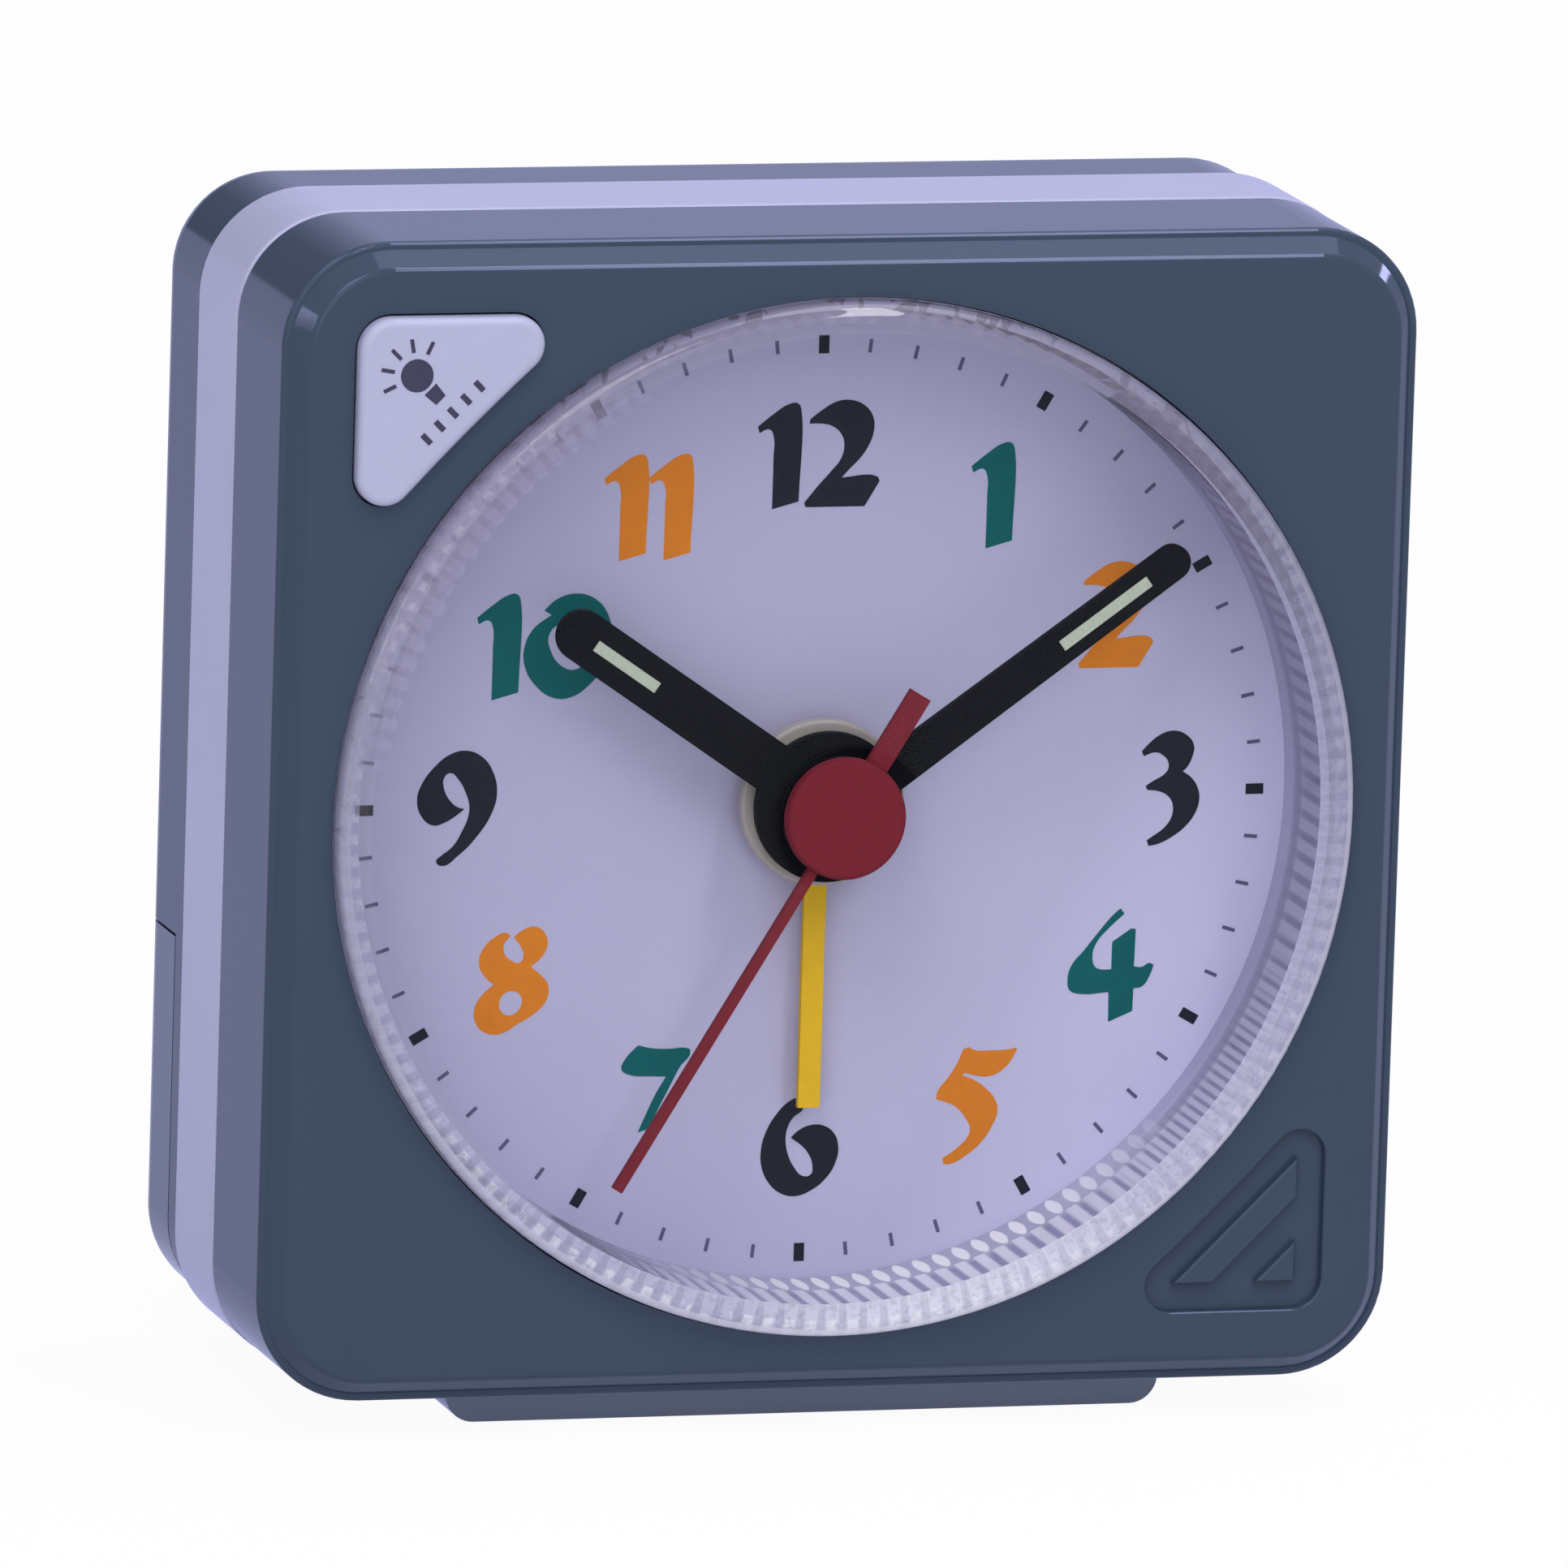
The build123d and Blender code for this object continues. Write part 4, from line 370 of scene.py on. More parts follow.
NUMERALS = {
    "black_numerals": (black_ink, [("1", -1.88, 17.68), ("2", 1.1, 17.67), ("3", 19.0, 0.0), ("6", 0.0, -18.5),
                                   ("9", -19.0, -0.5)]),
    "green_numerals": (green_ink, [("1", 9.55, 15.44), ("4", 16.5, -9.5), ("7", -8.0, -14.5),
                                   ("1", -16.44, 8.03), ("0", -12.98, 8.0)]),
    "orange_numerals": (orange_ink, [("2", 16.0, 9.0), ("5", 9.5, -16.5), ("8", -15.5, -9.5),
                                     ("1", -9.92, 15.13), ("1", -7.55, 15.13)]),
}
for name, (ink, figures) in NUMERALS.items():
    shapes = [
        [[((x + px) / MM_PER_METRE, (up + pz) / MM_PER_METRE, *corner) for px, pz, *corner in outline]
         for outline in FIGURES[figure]]
        for figure, x, up in figures
    ]
    printed(name, shapes, DIAL_FRONT, ink, "case")


# Movement plates: the front chassis with its pillars and the rear plate, moulded in grey acetal.
# Screws through the chassis hold the movement to the bezel's posts.
plate_plastic = moulded("plate_plastic", colour(128, 130, 135), 0.5, relief=0.000006)
dress(plate_plastic, "movement_chassis", "movement_rear_plate")


# Wheels and arbors of the train and the motion work: moulded in white acetal, teeth and pivots in one.
# Each turns in the plates; the pale collet of the alarm wheel shows behind the hands.
wheel_plastic = moulded("wheel_plastic", colour(216, 216, 212), 0.38, grain=0.0001, relief=0.000002)
collet_plastic = moulded("collet_plastic", colour(160, 154, 150), 0.35, grain=0.0001, relief=0.000002)
dress(wheel_plastic, "intermediate_wheel", "second_wheel", "third_wheel", "centre_wheel", "cannon_pinion",
      "minute_wheel", "hour_wheel", "alarm_arbor")
dress(collet_plastic, "alarm_wheel")


# Stepping motor: a sintered magnet rotor, a stamped steel stator and a copper winding on its bar.
# The stator lies in the gap between the plates round the magnet.
SCUFF_GRAIN, DULLING_GRAIN = 0.0004, 0.004
WIRE_PITCH = 0.00022


def plated(name, tint, rough):
    """Bright plated or rolled metal with fine handling marks."""
    material, place = open_finish(name)
    scuffs = place.noise(SCUFF_GRAIN, 5.0)
    coat(place, {
        "Base Color": place.noise(DULLING_GRAIN).mix(shade(tint, 0.86), tint),
        "Metallic": 1.0,
        "Roughness": scuffs * 0.2 + (rough - 0.1),
        "Normal": scuffs.relief(0.000003),
    })
    return material


bright_steel = plated("bright_steel", colour(190, 192, 196), 0.3)
magnet_black = moulded("magnet_black", colour(62, 62, 66), 0.55, grain=0.0001, relief=0.000004)
dress(bright_steel, "stator")
dress(magnet_black, "rotor")

copper_winding, place = open_finish("copper_winding")
across = split(place)[0]
turns = (across * (2 * math.pi / WIRE_PITCH)).sum("SINE")
# Painted shade: the grooves between the turns are coloured darker.
coat(place, {
    "Base Color": (turns * 0.5 + 0.5).mix(colour(96, 42, 22), colour(196, 106, 62)),
    "Metallic": 0.8,
    "Roughness": place.noise(0.0005) * 0.15 + 0.28,
    "Normal": turns.relief(0.00003),
})
dress(copper_winding, "motor_coil")


# Circuit board: phenolic board with green solder mask, a potted chip and the crystal's can.
# It lies on the back of the rear plate.
TRACKS_ACROSS, TRACKS_UP, TRACK_EDGE = 2600.0, 1900.0, 0.55
solder_mask, place = open_finish("solder_mask")
across, _, height = split(place)
tracks = (across * TRACKS_ACROSS).sum("SINE") * (height * TRACKS_UP).sum("SINE") > TRACK_EDGE
coat(place, {
    "Base Color": tracks.mix(colour(24, 84, 52), colour(60, 128, 78)),
    "Roughness": place.noise(0.0006) * 0.2 + 0.3,
    "Normal": tracks.relief(0.00002),
})
chip_resin = moulded("chip_resin", colour(26, 26, 29), 0.3, grain=0.0006, relief=0.00001)
dress(solder_mask, "circuit_board")
dress(chip_resin, "chip_cap")
dress(bright_steel, "quartz_crystal")


# Hands: stamped aluminium sheet pressed on the pipes. The alarm hand is sprayed yellow, the hour and
# minute hands satin black with a pale strip of lume laid in a slot, the second hand and its cap red.
PEEL_GRAIN, DUST_GRAIN, POWDER_GRAIN = 0.0006, 0.00015, 0.00018
PAINT_SPREAD = 0.15


def sprayed(name, tint):
    """Thin sprayed paint with the faint orange peel of a drying coat."""
    material, place = open_finish(name)
    peel = place.noise(PEEL_GRAIN)
    dust = place.noise(DUST_GRAIN)
    coat(place, {
        "Base Color": (peel * 0.6 + dust * 0.4).mottle(tint, PAINT_SPREAD),
        "Roughness": dust * 0.2 + 0.45,
        "Specular IOR Level": 0.03,
        "Normal": peel.relief(0.00001),
    })
    return material


lume_paste, place = open_finish("lume_paste")
powder = place.noise(POWDER_GRAIN, 4.0)
coat(place, {
    "Base Color": powder.mix(colour(150, 160, 148), colour(188, 196, 180)),
    "Roughness": powder * 0.2 + 0.7,
    "Specular IOR Level": 0.15,
    "Normal": powder.relief(0.00002),
})
dress(sprayed("alarm_yellow_paint", colour(218, 176, 40)), "alarm_hand")
dress(sprayed("hand_black_paint", colour(15, 17, 24)), "hour_hand", "minute_hand")
dress(sprayed("second_red_paint", colour(112, 37, 48)), "second_hand")
dress(lume_paste, "hour_hand_lume", "minute_hand_lume")


# Lens: a clear styrene cup, one moulding with a domed polished window, a rounded shoulder and a skirt
# fluted on the outside. It is snapped over the tray's lip and presses the dial down. Stripes, dots and
# haze painted on the clear wall stand for the light that its flutes bend: painted light that pales it
# towards the lower right, painted shade and painted highlights.
BORE_RADIUS, CLEAR_RADIUS, FLUTE_RADIUS = 0.0252, 0.02535, 0.0256
DOTS_START, EDGE_RADIUS = 0.0259, 0.0264
FRINGE_RADIUS, FRINGE_WANDER, FRINGE_WAVE = 0.0244, 0.0007, 0.0002
CROWN_SHIFT, COLLAR_WIDTH, POLE_RADIUS = 0.0008, 0.0006, 0.004
SEAT = FACE + 0.00045
WALL_START = FACE - 0.00035
CROWN_REAR = FACE - 0.0009
SKIRT_END = FACE + 0.00635
FLUTES = 146
HAZE_GRAIN, SPECK_GRAIN = 0.0007, 0.0003
PAINTED_GLOW_ACROSS, PAINTED_GLOW_DOWN = 0.25, 0.97
LEAN_ACROSS, LEAN_DOWN = 0.822, 0.569
LOW_START, LOW_SLOPE = 0.915, 14.0
FINE_START, FINE_SLOPE = 0.72, 7.0
CORNER_START, CORNER_SLOPE = 0.87, 9.0
STRIPE_START, STRIPE_SLOPE = 0.4, 2.2
STRIPES_RUN, STRIPES_FADE, STRIPES_LEAST = 0.0016, 0.0024, 0.15
LINE_MIDDLE, LINE_HALF, LINE_SHARE = 0.0024, 0.0008, 0.6
SOFT_END, SOFT_FADE = 0.0022, 0.001
GROUND_END, GROUND_SHARE = 0.0031, 0.8
SPOT_MIDDLE, SPOT_NARROWING, SPOT_SLOPE = 0.0016, 1.25, 3.0
FLUTE_CREST, FLUTE_HOLLOW, CLEAN_HAZE, DARK_SPECK = 0.6, 0.3, 0.42, 0.43
PAINTED_SHADE_LINE_TINT, SOFT_TINT, GROUND_TINT = colour(122, 119, 152), colour(174, 172, 206), colour(158, 156, 188)
PAINTED_GLINT_TINT, PAINTED_DOT_GLINT_TINT, PAINTED_EDGE_LIGHT_TINT = colour(252, 252, 255), colour(248, 248, 253), colour(224, 223, 240)
PAINTED_HOLLOW_SHADE_TINT, SPECK_TINT = colour(118, 115, 148), colour(110, 107, 140)
STYRENE_IOR = 1.45


def toned(share, *stops):
    """Colour that follows a share between 0 and 1 through the given stops."""
    made = share.add("ValToRGB", {0: share})
    ramp = made.socket.node.color_ramp.elements
    for element, (position, tint) in zip((ramp[0], ramp[-1]), (stops[0], stops[-1])):
        element.position, element.color = position, colour(*tint)
    for position, tint in stops[1:-1]:
        ramp.new(position).color = colour(*tint)
    return made


clear_styrene, place = open_finish("clear_styrene")
across, depth, height = split(place)
height = height - AXIS
radius = (across * across + height * height).sum("SQRT")
angle = height.sum("ARCTAN2", across)
wave = (angle * FLUTES).sum("SINE") * 0.5 + 0.5
fine_wave = (angle * (FLUTES * 2)).sum("SINE") * 0.5 + 0.5
haze = place.noise(HAZE_GRAIN, 3.0)
specks = place.noise(SPECK_GRAIN)
# Painted light: a share from 0 on the upper left to 1 low down on the right, which pales the lens's colours
# there.
painted_glow = (across * PAINTED_GLOW_ACROSS - height * PAINTED_GLOW_DOWN) / radius * 0.5 + 0.5
low = painted_glow.rise(LOW_START, LOW_SLOPE)
lean = (across * LEAN_ACROSS - height * LEAN_DOWN) / radius
ahead, behind = lean.between(0.0, 1.0), (0 - lean).between(0.0, 1.0)
upper_left = behind.rise(CORNER_START, CORNER_SLOPE)
run = DIAL_FRONT - depth

# The wall inside: stripes of the flutes in painted light and shade, paler towards the lower right, a band of
# painted shade partway up, a soft end painted in the dial's colour and a row of painted highlights low down.
light_wall = toned(painted_glow, (0.3, (158, 154, 186)), (0.6, (166, 164, 195)), (0.9, (194, 193, 218)),
                   (1.0, (226, 225, 240)))
dark_wall = toned(painted_glow, (0.3, (128, 124, 156)), (0.6, (128, 126, 159)), (0.9, (138, 137, 170)),
                  (1.0, (136, 135, 172)))
doubled = painted_glow.rise(FINE_START, FINE_SLOPE) * ahead * (1 - low)
bars = wave * (1 - doubled) + fine_wave * doubled
depth_share = ((run - STRIPES_RUN) / STRIPES_FADE).between(STRIPES_LEAST, 1.0)
# Painted light and shade: the flutes' stripes, light and dark in turn.
wall = (bars.rise(STRIPE_START, STRIPE_SLOPE) * depth_share).mix(light_wall, dark_wall)
# Painted shade: a darker band across the wall, partway between the dial and the front.
from_line = (run - LINE_MIDDLE) / LINE_HALF
wall = ((1 - from_line * from_line).between(0.0, LINE_SHARE) * (1 - low)).mix(wall, PAINTED_SHADE_LINE_TINT)
wall = (((SOFT_END - run) / SOFT_FADE).between(0.0, 1.0) * (1 - low)).mix(wall, SOFT_TINT)
wall = ((run < GROUND_END) * low * GROUND_SHARE).mix(wall, GROUND_TINT)
# Painted highlights: white spots on the flutes near the dial, low down, on a darker ground.
from_spot = run / SPOT_MIDDLE - 1
painted_glints = 1 - (1 - wave) * SPOT_NARROWING - from_spot * from_spot
wall = ((painted_glints * SPOT_SLOPE).between(0.0, 1.0) * low).mix(wall, PAINTED_GLINT_TINT)

# The crown in front: painted light that pales it towards the lower right, painted shade in the hollows between
# the flutes, bright dots of painted highlight, fine specks and a painted highlight along the outer edge.
crown = toned(painted_glow, (0.0, (128, 120, 149)), (0.5, (158, 157, 189)), (0.8, (174, 173, 203)),
              (0.95, (188, 187, 214)), (1.0, (216, 215, 234)))
# Painted shade: the hollows between the flutes are coloured darker.
crown = ((wave < FLUTE_HOLLOW) * (0.35 - ahead * 0.15)).mix(crown, PAINTED_HOLLOW_SHADE_TINT)
# Painted highlights: white dots on the flutes' crests of the crown.
painted_dot_glints = (wave > FLUTE_CREST) * (radius > DOTS_START) * (radius < EDGE_RADIUS) * (haze > CLEAN_HAZE)
brightness = (painted_glow * 1.6 - 0.9).between(0.12, 0.65) * (1 - ahead * 0.65)
crown = (painted_dot_glints * brightness).mix(crown, PAINTED_DOT_GLINT_TINT)
crown = ((specks < DARK_SPECK) * 0.2).mix(crown, SPECK_TINT)
# Painted highlight: a pale line along the crown's outer edge, brighter towards the lower right.
crown = ((radius > EDGE_RADIUS) * painted_glow * 0.6).mix(crown, PAINTED_EDGE_LIGHT_TINT)

# Where the clear wall looks clouded: shoulder, collar, fringe, lining of the bore and flutes.
front_part = (radius > behind * CROWN_SHIFT + CLEAR_RADIUS) * (depth < SEAT)
shoulder = front_part * (painted_glow * 0.6 + 0.25)
collar = (radius > CLEAR_RADIUS - ahead * COLLAR_WIDTH) * (radius < CLEAR_RADIUS) * (depth < CROWN_REAR)
collar = collar * 0.85
ragged = (radius > haze * FRINGE_WANDER + wave * FRINGE_WAVE + FRINGE_RADIUS) * (depth < SEAT)
fringe = upper_left * ragged * (haze * 0.5 + 0.38)
turned = (lean * 3.0).between(0.0, 0.85)
lining = (radius > BORE_RADIUS) * (radius < CLEAR_RADIUS) * (depth > WALL_START) * turned
flutes = (radius > FLUTE_RADIUS) * (depth > SEAT) * (depth < SKIRT_END) * turned
cloudy = shoulder.most(collar, fringe, lining, flutes)
passing = 1 - place.add("LightPath", out="Is Shadow Ray") * 0.7

frost = place.add("BsdfPrincipled", {
    "Base Color": front_part.most(collar, fringe).mix(wall, crown),
    "Roughness": haze * 0.1 + 0.15,
    "Specular IOR Level": 0.2,
})
see_through = place.add("BsdfTransparent", {"Color": (0.985, 0.985, 0.99, 1)})
polish = place.add("BsdfGlossy", {"Color": (1, 1, 1, 1), "Roughness": 0.02})
rounded = (radius > CLEAR_RADIUS) * (depth < SEAT) * 0.9 + (radius > POLE_RADIUS) * 0.1
mirrored = place.add("Fresnel", {"IOR": STYRENE_IOR}) * rounded
window = place.add("MixShader", {0: mirrored, 1: see_through, 2: polish})
lens_surface = place.add("MixShader", {0: cloudy * passing, 1: window, 2: frost})
place.add("OutputMaterial", {"Surface": lens_surface})
dress(clear_styrene, "lens")


# Front bezel: dark slate shell moulded in one, with a raised face, the lens bore, the button's hole
# and a sunk three-cornered ornament opposite. A satin grain covers it.
SLATE_SHEEN = colour(180, 183, 229)
slate_plastic = moulded("slate_plastic", colour(54, 67, 84), 0.1, SLATE_SHEEN, relief=0.0000008)
dress(slate_plastic, "front_bezel")


# Snooze button: pale three-cornered moulding held behind the bezel's face, with a cap that nearly fills
# its hole. It presses a sprung contact and lights the dial by a small lamp in the tray. A lamp with rays
# and a row of bars are printed on the cap.
CAP_PROUD, CAP_DEPTH, CAP_GROW = 0.00084, 0.0018, 0.00014
CAP_EDGE, EDGE_STEPS = 0.00045, 8
BUTTON_FRONT = FACE - CAP_PROUD
BUTTON_CORNER = Vector((-0.02625, 0.02625))
BUTTON_LEG, BUTTON_HOLLOW = 0.0116, 0.0003
CORNER_ROUND, TIP_ROUND, ROUND_STEPS = 0.0016, 0.00135, 14
TIP_SHARE, SIDE_STEPS = 0.2, 20
button_plastic = moulded("button_plastic", colour(168, 169, 200), 0.35)
dress(button_plastic, "snooze_button")
dress(bright_steel, "snooze_contact")

lamp_resin, place = open_finish("lamp_resin")
coat(place, {
    "Base Color": place.noise(0.001).mix(colour(226, 222, 196), colour(240, 238, 220)),
    "Roughness": place.noise(0.0004) * 0.1 + 0.1,
})
dress(lamp_resin, "dial_lamp")

inward, sideways = Vector((1, -1)).normalized(), Vector((1, 1)).normalized()
across_tip = BUTTON_CORNER + Vector((BUTTON_LEG, 0))
down_tip = BUTTON_CORNER - Vector((0, BUTTON_LEG))


def rounded_corner(corner, before, after, size):
    """Points of a round between two straight sides, from the first side to the second."""
    first, second = (before - corner).normalized(), (after - corner).normalized()
    half = math.acos(first.dot(second)) / 2
    middle = corner + (first + second).normalized() * (size / math.sin(half))
    start = corner + first * (size / math.tan(half)) - middle
    sweep = start.angle_signed(corner + second * (size / math.tan(half)) - middle)
    turns = [-sweep * k / ROUND_STEPS for k in range(ROUND_STEPS + 1)]
    return [middle + Matrix.Rotation(turn, 2) @ start for turn in turns]


def long_side(share):
    """Point of the hollowed side between the tips, from the upper one to the lower one."""
    return across_tip.lerp(down_tip, share) - inward * (BUTTON_HOLLOW * 4 * share * (1 - share))


outline = rounded_corner(BUTTON_CORNER, down_tip, across_tip, CORNER_ROUND)
outline += rounded_corner(across_tip, BUTTON_CORNER, long_side(TIP_SHARE), TIP_ROUND)
outline += [long_side(k / SIDE_STEPS) for k in range(SIDE_STEPS // 4, SIDE_STEPS * 3 // 4 + 1)]
outline += rounded_corner(down_tip, long_side(1 - TIP_SHARE), BUTTON_CORNER, TIP_ROUND)
cap_curve = flat_curve("button_cap")
cap_curve.bevel_depth, cap_curve.bevel_resolution = CAP_EDGE, EDGE_STEPS
cap_curve.offset = CAP_GROW - CAP_EDGE
cap_curve.extrude = CAP_DEPTH / 2 - CAP_EDGE
spline = cap_curve.splines.new("POLY")
spline.points.add(len(outline) - 1)
spline.use_cyclic_u = True
for point, spot in zip(spline.points, outline):
    point.co = (spot.x, spot.y, 0, 1)
cap_mesh = meshed(cap_curve)
cap_mesh.transform(upright_at(BUTTON_FRONT + CAP_DEPTH / 2))
piece("button_cap", cap_mesh, button_plastic, "snooze")

# The print, in millimetres from the button's right angle: across the cap, then inward from its corner.
BULB_MIDDLE, BULB_SIZE, BULB_POINTS = 3.95, 0.85, 12
SCREW_CAP = [(-0.42, 4.95), (0.42, 4.95), (0.34, 5.75), (-0.34, 5.75)]
RAY_TURNS, RAY_START, RAY_END, RAY_HALF = (-70, -35, 0, 35, 70), 1.2, 1.9, 0.1
BAR_PLACES, BAR_PITCH, BAR_HALF, BAR_START, BAR_END = (-2, -1, 0, 1, 2), 0.95, 0.15, 6.35, 7.0


def on_button(points):
    """The same points in metres from the dial's axis."""
    painted_glints = [BUTTON_CORNER + (sideways * a + inward * b) / MM_PER_METRE for a, b in points]
    return [(spot.x, spot.y) for spot in painted_glints]


def sharp(points):
    """An outline on the button with a corner at each of these points."""
    return [(*spot, 1) for spot in on_button(points)]


bulb_turns = [2 * math.pi * k / BULB_POINTS for k in range(BULB_POINTS)]
bulb = on_button([(BULB_SIZE * math.sin(a), BULB_MIDDLE - BULB_SIZE * math.cos(a)) for a in bulb_turns])
marks = [[bulb], [sharp(SCREW_CAP)]]
for turn in map(math.radians, RAY_TURNS):
    out = Vector((math.sin(turn), -math.cos(turn)))
    side = Vector((-out.y, out.x)) * RAY_HALF
    near, far = (out * reach + Vector((0, BULB_MIDDLE)) for reach in (RAY_START, RAY_END))
    marks.append([sharp([near - side, far - side, far + side, near + side])])
for k in BAR_PLACES:
    first, last = k * BAR_PITCH - BAR_HALF, k * BAR_PITCH + BAR_HALF
    marks.append([sharp([(first, BAR_START), (last, BAR_START), (last, BAR_END), (first, BAR_END)])])
button_ink = inked("button_ink", colour(62, 61, 84))
printed("button_print", marks, BUTTON_FRONT, button_ink, "snooze")


# Middle ring and foot: the pale lavender band between the shells, snapped to the bezel, and the dark
# low plinth pegged under it, whose colour is painted much paler: painted light in the shade under the case.
PALE_SHEEN = colour(188, 191, 238)
ring_plastic = moulded("ring_plastic", colour(173, 173, 206), 0.3, PALE_SHEEN)
# Painted light: the foot is coloured much paler than the dark slate, standing for light from the floor in its
# shade.
foot_plastic_painted_paler = moulded("foot_plastic_painted_paler", colour(134, 144, 170), 0.3, PALE_SHEEN)
dress(ring_plastic, "middle_ring")
dress(foot_plastic_painted_paler, "base_foot")


# Rear case: dark slate shell moulded in one with the battery bay, the sound slots and the knobs' wells.
# It closes the clock from behind and is screwed to the ring.
dress(slate_plastic, "rear_case")


# Setting knobs, alarm switch and buzzer on the rear: black fluted knobs pushed on their arbors, a slider
# between rails, and a brass disc with its ceramic glued in the ring behind the slots.
knob_plastic = moulded("knob_plastic", colour(44, 50, 62), 0.4)
buzzer_brass = plated("buzzer_brass", colour(214, 178, 106), 0.35)
dress(knob_plastic, "time_set_knob", "alarm_set_knob", "alarm_switch")
dress(buzzer_brass, "buzzer")


# Cell, contacts and door: one AA cell in its printed sleeve between two plated leaves, under a dark door
# with ribs for the thumb.
SLEEVE_BAND = 0.012
DOOR_SHEEN = colour(200, 203, 246)
sleeve, place = open_finish("cell_sleeve")
along = split(place)[0]
coat(place, {
    "Base Color": (along > SLEEVE_BAND).mix(colour(58, 66, 86), colour(176, 150, 96)),
    "Metallic": 0.3,
    "Roughness": place.noise(0.002) * 0.1 + 0.25,
})
dress(sleeve, "battery")
dress(bright_steel, "battery_contact_positive", "battery_contact_negative")
door_plastic = moulded("door_plastic", colour(60, 74, 98), 0.12, DOOR_SHEEN, relief=0.0000008)
dress(door_plastic, "battery_door")


# Screws: zinc plated steel with pan heads and a round recess, driven into plain holes of the mouldings.
# There are three groups of like screws: for the chassis, for its rear plate and for the case.
dress(bright_steel, "chassis_screws", "plate_screws", "case_screws")


# Studio: a white paper sweep under the clock, a white room round it and six soft boxes.
# A dark board behind the clock shows only in reflections and darkens the upper left corner of the shells.
FLOOR_HALF = 4.0
WHITE_SHARE = 0.95
floor_mesh = bpy.data.meshes.new("floor")
corners = [(a * FLOOR_HALF, b * FLOOR_HALF, 0) for a, b in ((-1, -1), (1, -1), (1, 1), (-1, 1))]
floor_mesh.from_pydata(corners, [], [(0, 1, 2, 3)])
floor = bpy.data.objects.new("floor", floor_mesh)
bpy.context.scene.collection.objects.link(floor)


def sight(place):
    """Wires that are 1 for rays that show in the picture, and for mirrored rays alone."""
    rays = place.add("LightPath").socket.node.outputs
    kinds = ("Is Camera Ray", "Is Glossy Ray", "Is Transmission Ray")
    seen, mirrored, through = (Wire(place.tree, rays[kind]) for kind in kinds)
    return seen.most(mirrored, through), mirrored


sweep, place = open_finish("white_sweep")
direct, _ = sight(place)
paper = place.add("BsdfDiffuse", {"Color": (0.85, 0.85, 0.87, 1)})
white = place.add("Emission", {"Color": (1, 1, 1, 1), "Strength": 1.0})
floor_surface = place.add("MixShader", {0: direct * WHITE_SHARE, 1: paper, 2: white})
place.add("OutputMaterial", {"Surface": floor_surface})
floor_mesh.materials.append(sweep)

AMBIENT = 0.3
BOARD_LEVEL, BOARD_SHIFT, BOARD_SLOPE = 0.15, 0.06, 3.0
BOARD_LEFT, BOARD_BACK, BOARD_LOW, BOARD_HIGH = -0.45, 0.3, 0.1, 0.6
world = bpy.data.worlds.new("white_room")
bpy.context.scene.world = world
world.use_nodes = True
world.node_tree.nodes.clear()
room = Wire(world.node_tree)
direct, mirrored = sight(room)
bearing, back, rise = split(room.add("TexCoord", out="Generated"))
graded = ((bearing + BOARD_SHIFT) * BOARD_SLOPE + BOARD_LEVEL).between(BOARD_LEVEL, 1.0)
inside = (bearing > BOARD_LEFT) * (back > BOARD_BACK) * (rise > BOARD_LOW) * (rise < BOARD_HIGH)
board = (1 - graded) * inside * mirrored
dim = room.add("Background", {"Color": (1, 1, 1, 1), "Strength": AMBIENT})
white = room.add("Background", {"Color": (1, 1, 1, 1), "Strength": 1.0})
dark = room.add("Background", {"Color": (0.9, 0.9, 1, 1), "Strength": BOARD_LEVEL})
walls = room.add("MixShader", {0: board, 1: white, 2: dark})
backdrop = room.add("MixShader", {0: direct, 1: dim, 2: walls})
room.add("OutputWorld", {"Surface": backdrop})


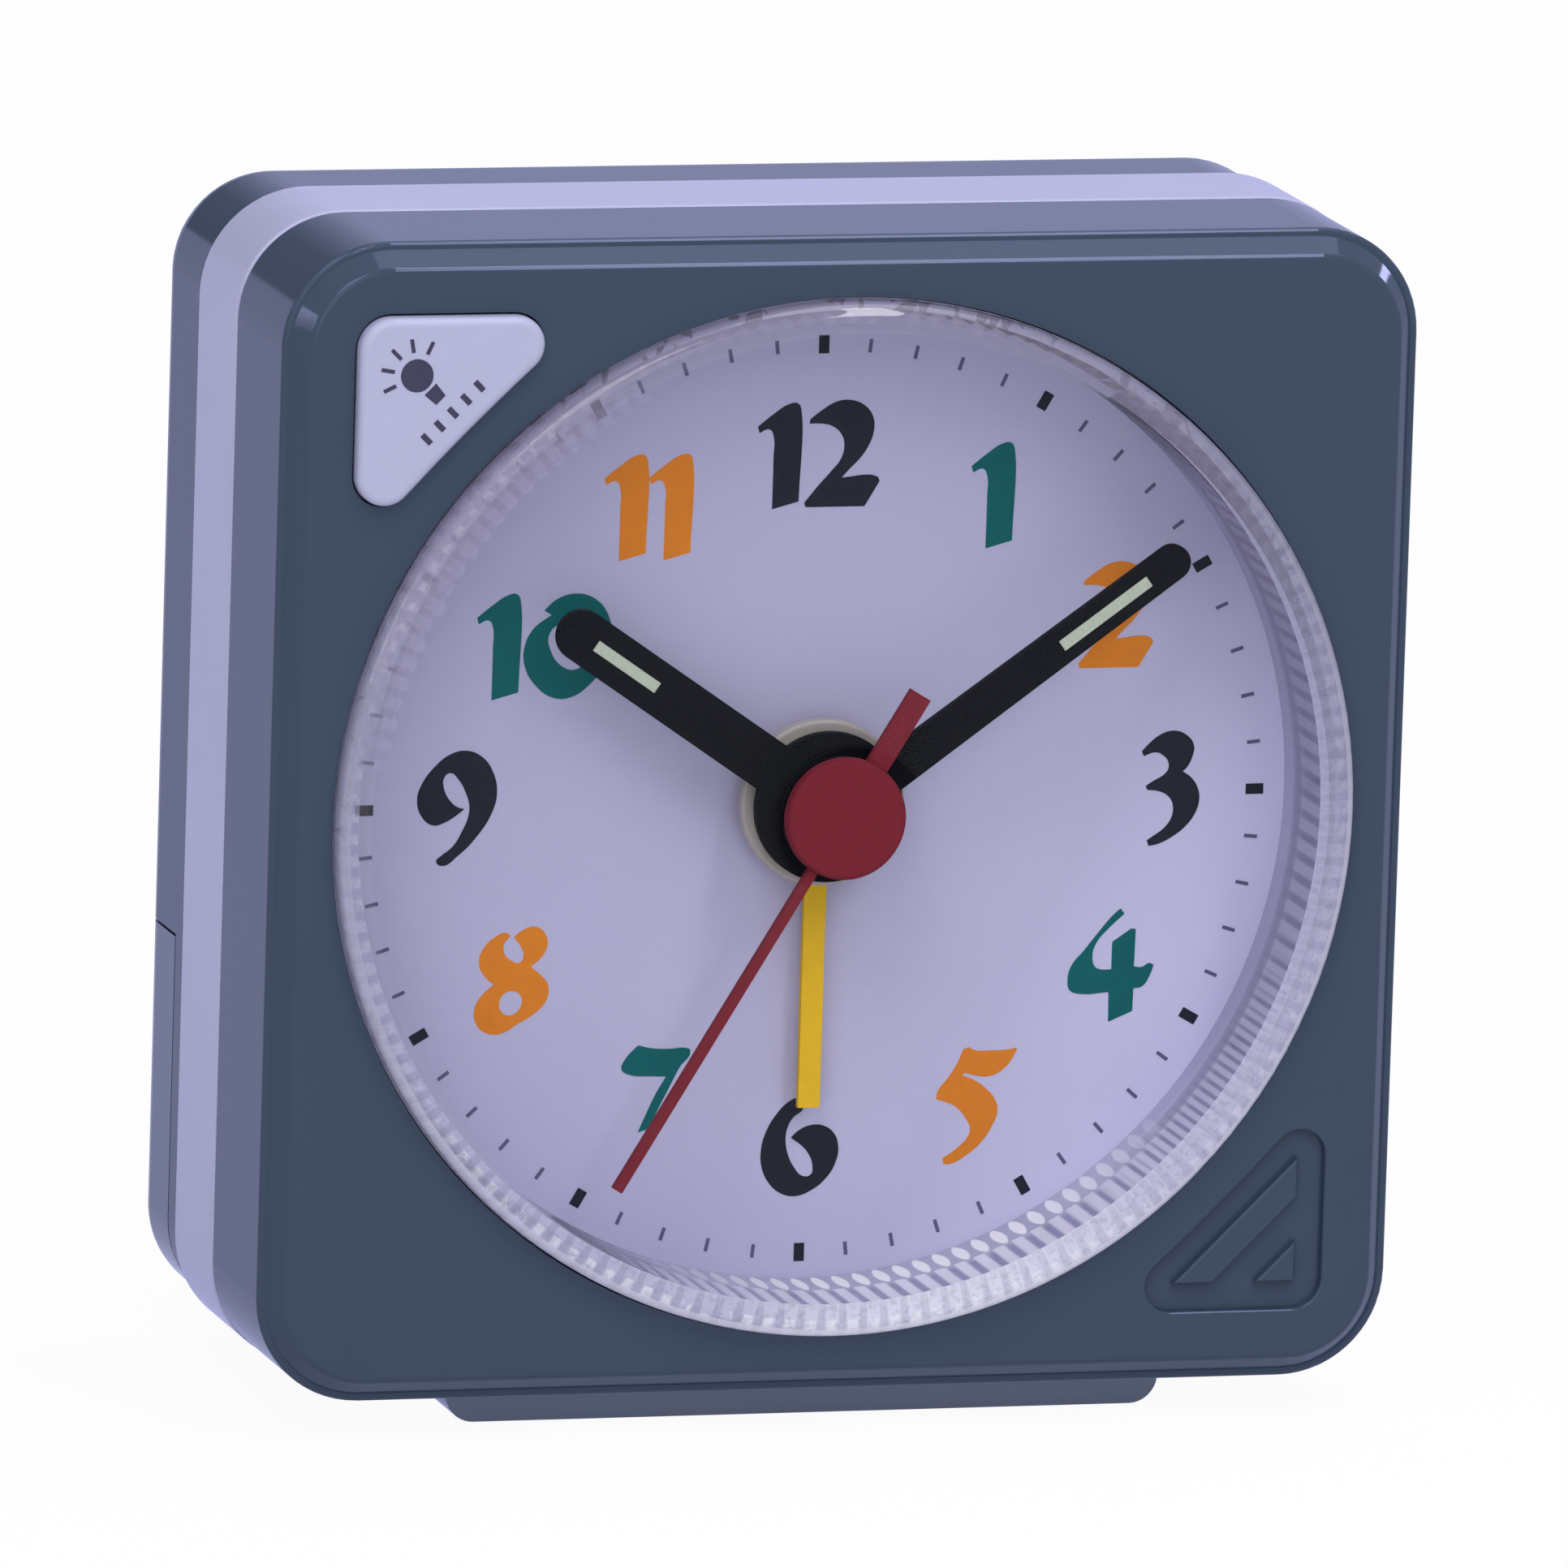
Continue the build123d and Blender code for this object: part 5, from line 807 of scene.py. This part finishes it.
def soft_box(name, place, size, power, roll=0.0):
    """A soft box of this width and height, aimed at the dial and rolled about that line in degrees."""
    lamp = bpy.data.lights.new(name, "AREA")
    lamp.shape = "RECTANGLE"
    lamp.size, lamp.size_y = size
    lamp.energy = power
    made = bpy.data.objects.new(name, lamp)
    aim = (Vector((0, 0, AXIS)) - Vector(place)).to_track_quat("-Z", "Y").to_matrix().to_4x4()
    made.matrix_world = Matrix.Translation(place) @ aim @ Matrix.Rotation(math.radians(roll), 4, "Z")
    bpy.context.scene.collection.objects.link(made)


soft_box("key_box", (-0.35, -0.5, 0.78), (0.45, 0.45), 3.1)
soft_box("strip_box", (0.25, -0.5, 0.75), (0.1, 0.9), 3.4, roll=-21)
soft_box("side_box", (-0.95, -0.05, 0.34), (0.05, 0.25), 0.6)
soft_box("rim_box", (0.85, 0.33, 0.4), (0.06, 0.1), 0.3)
soft_box("sky_box", (0.25, 0.1, 0.95), (0.7, 0.5), 2.4)
soft_box("fill_box", (-0.3, -1.0, 0.33), (0.8, 0.8), 2.4)


# Camera: a long lens, a little to the left of the clock and above it, so that the left side and the top
# show. It is rolled by the small tilt of the picture.
YAW, PITCH, ROLL = (math.radians(a) for a in (15.79, 10.68, 1.77))
SHIFT_X, SHIFT_Z, DISTANCE = 0.00312, -0.00176, 1.24245
FOCUS_PIXELS, PHOTO_PIXELS, SENSOR = 30000, 1932, 36.0
ahead = Vector((math.sin(YAW) * math.cos(PITCH), math.cos(YAW) * math.cos(PITCH), -math.sin(PITCH)))
level = Vector((math.cos(YAW), -math.sin(YAW), 0))
upright = level.cross(ahead)
right = math.cos(ROLL) * level + math.sin(ROLL) * upright
above = math.cos(ROLL) * upright - math.sin(ROLL) * level
stand = Vector((0, FACE, AXIS)) - (right * SHIFT_X + above * SHIFT_Z + ahead * DISTANCE)
view = bpy.data.cameras.new("view")
view.sensor_width = SENSOR
view.lens = FOCUS_PIXELS / PHOTO_PIXELS * SENSOR
view.clip_start, view.clip_end = 0.05, 20.0
camera = bpy.data.objects.new("view", view)
camera.matrix_world = Matrix((
    (right.x, above.x, -ahead.x, stand.x),
    (right.y, above.y, -ahead.y, stand.y),
    (right.z, above.z, -ahead.z, stand.z),
    (0, 0, 0, 1),
))
bpy.context.scene.collection.objects.link(camera)
bpy.context.scene.camera = camera
bpy.context.scene.view_settings.view_transform = "Standard"
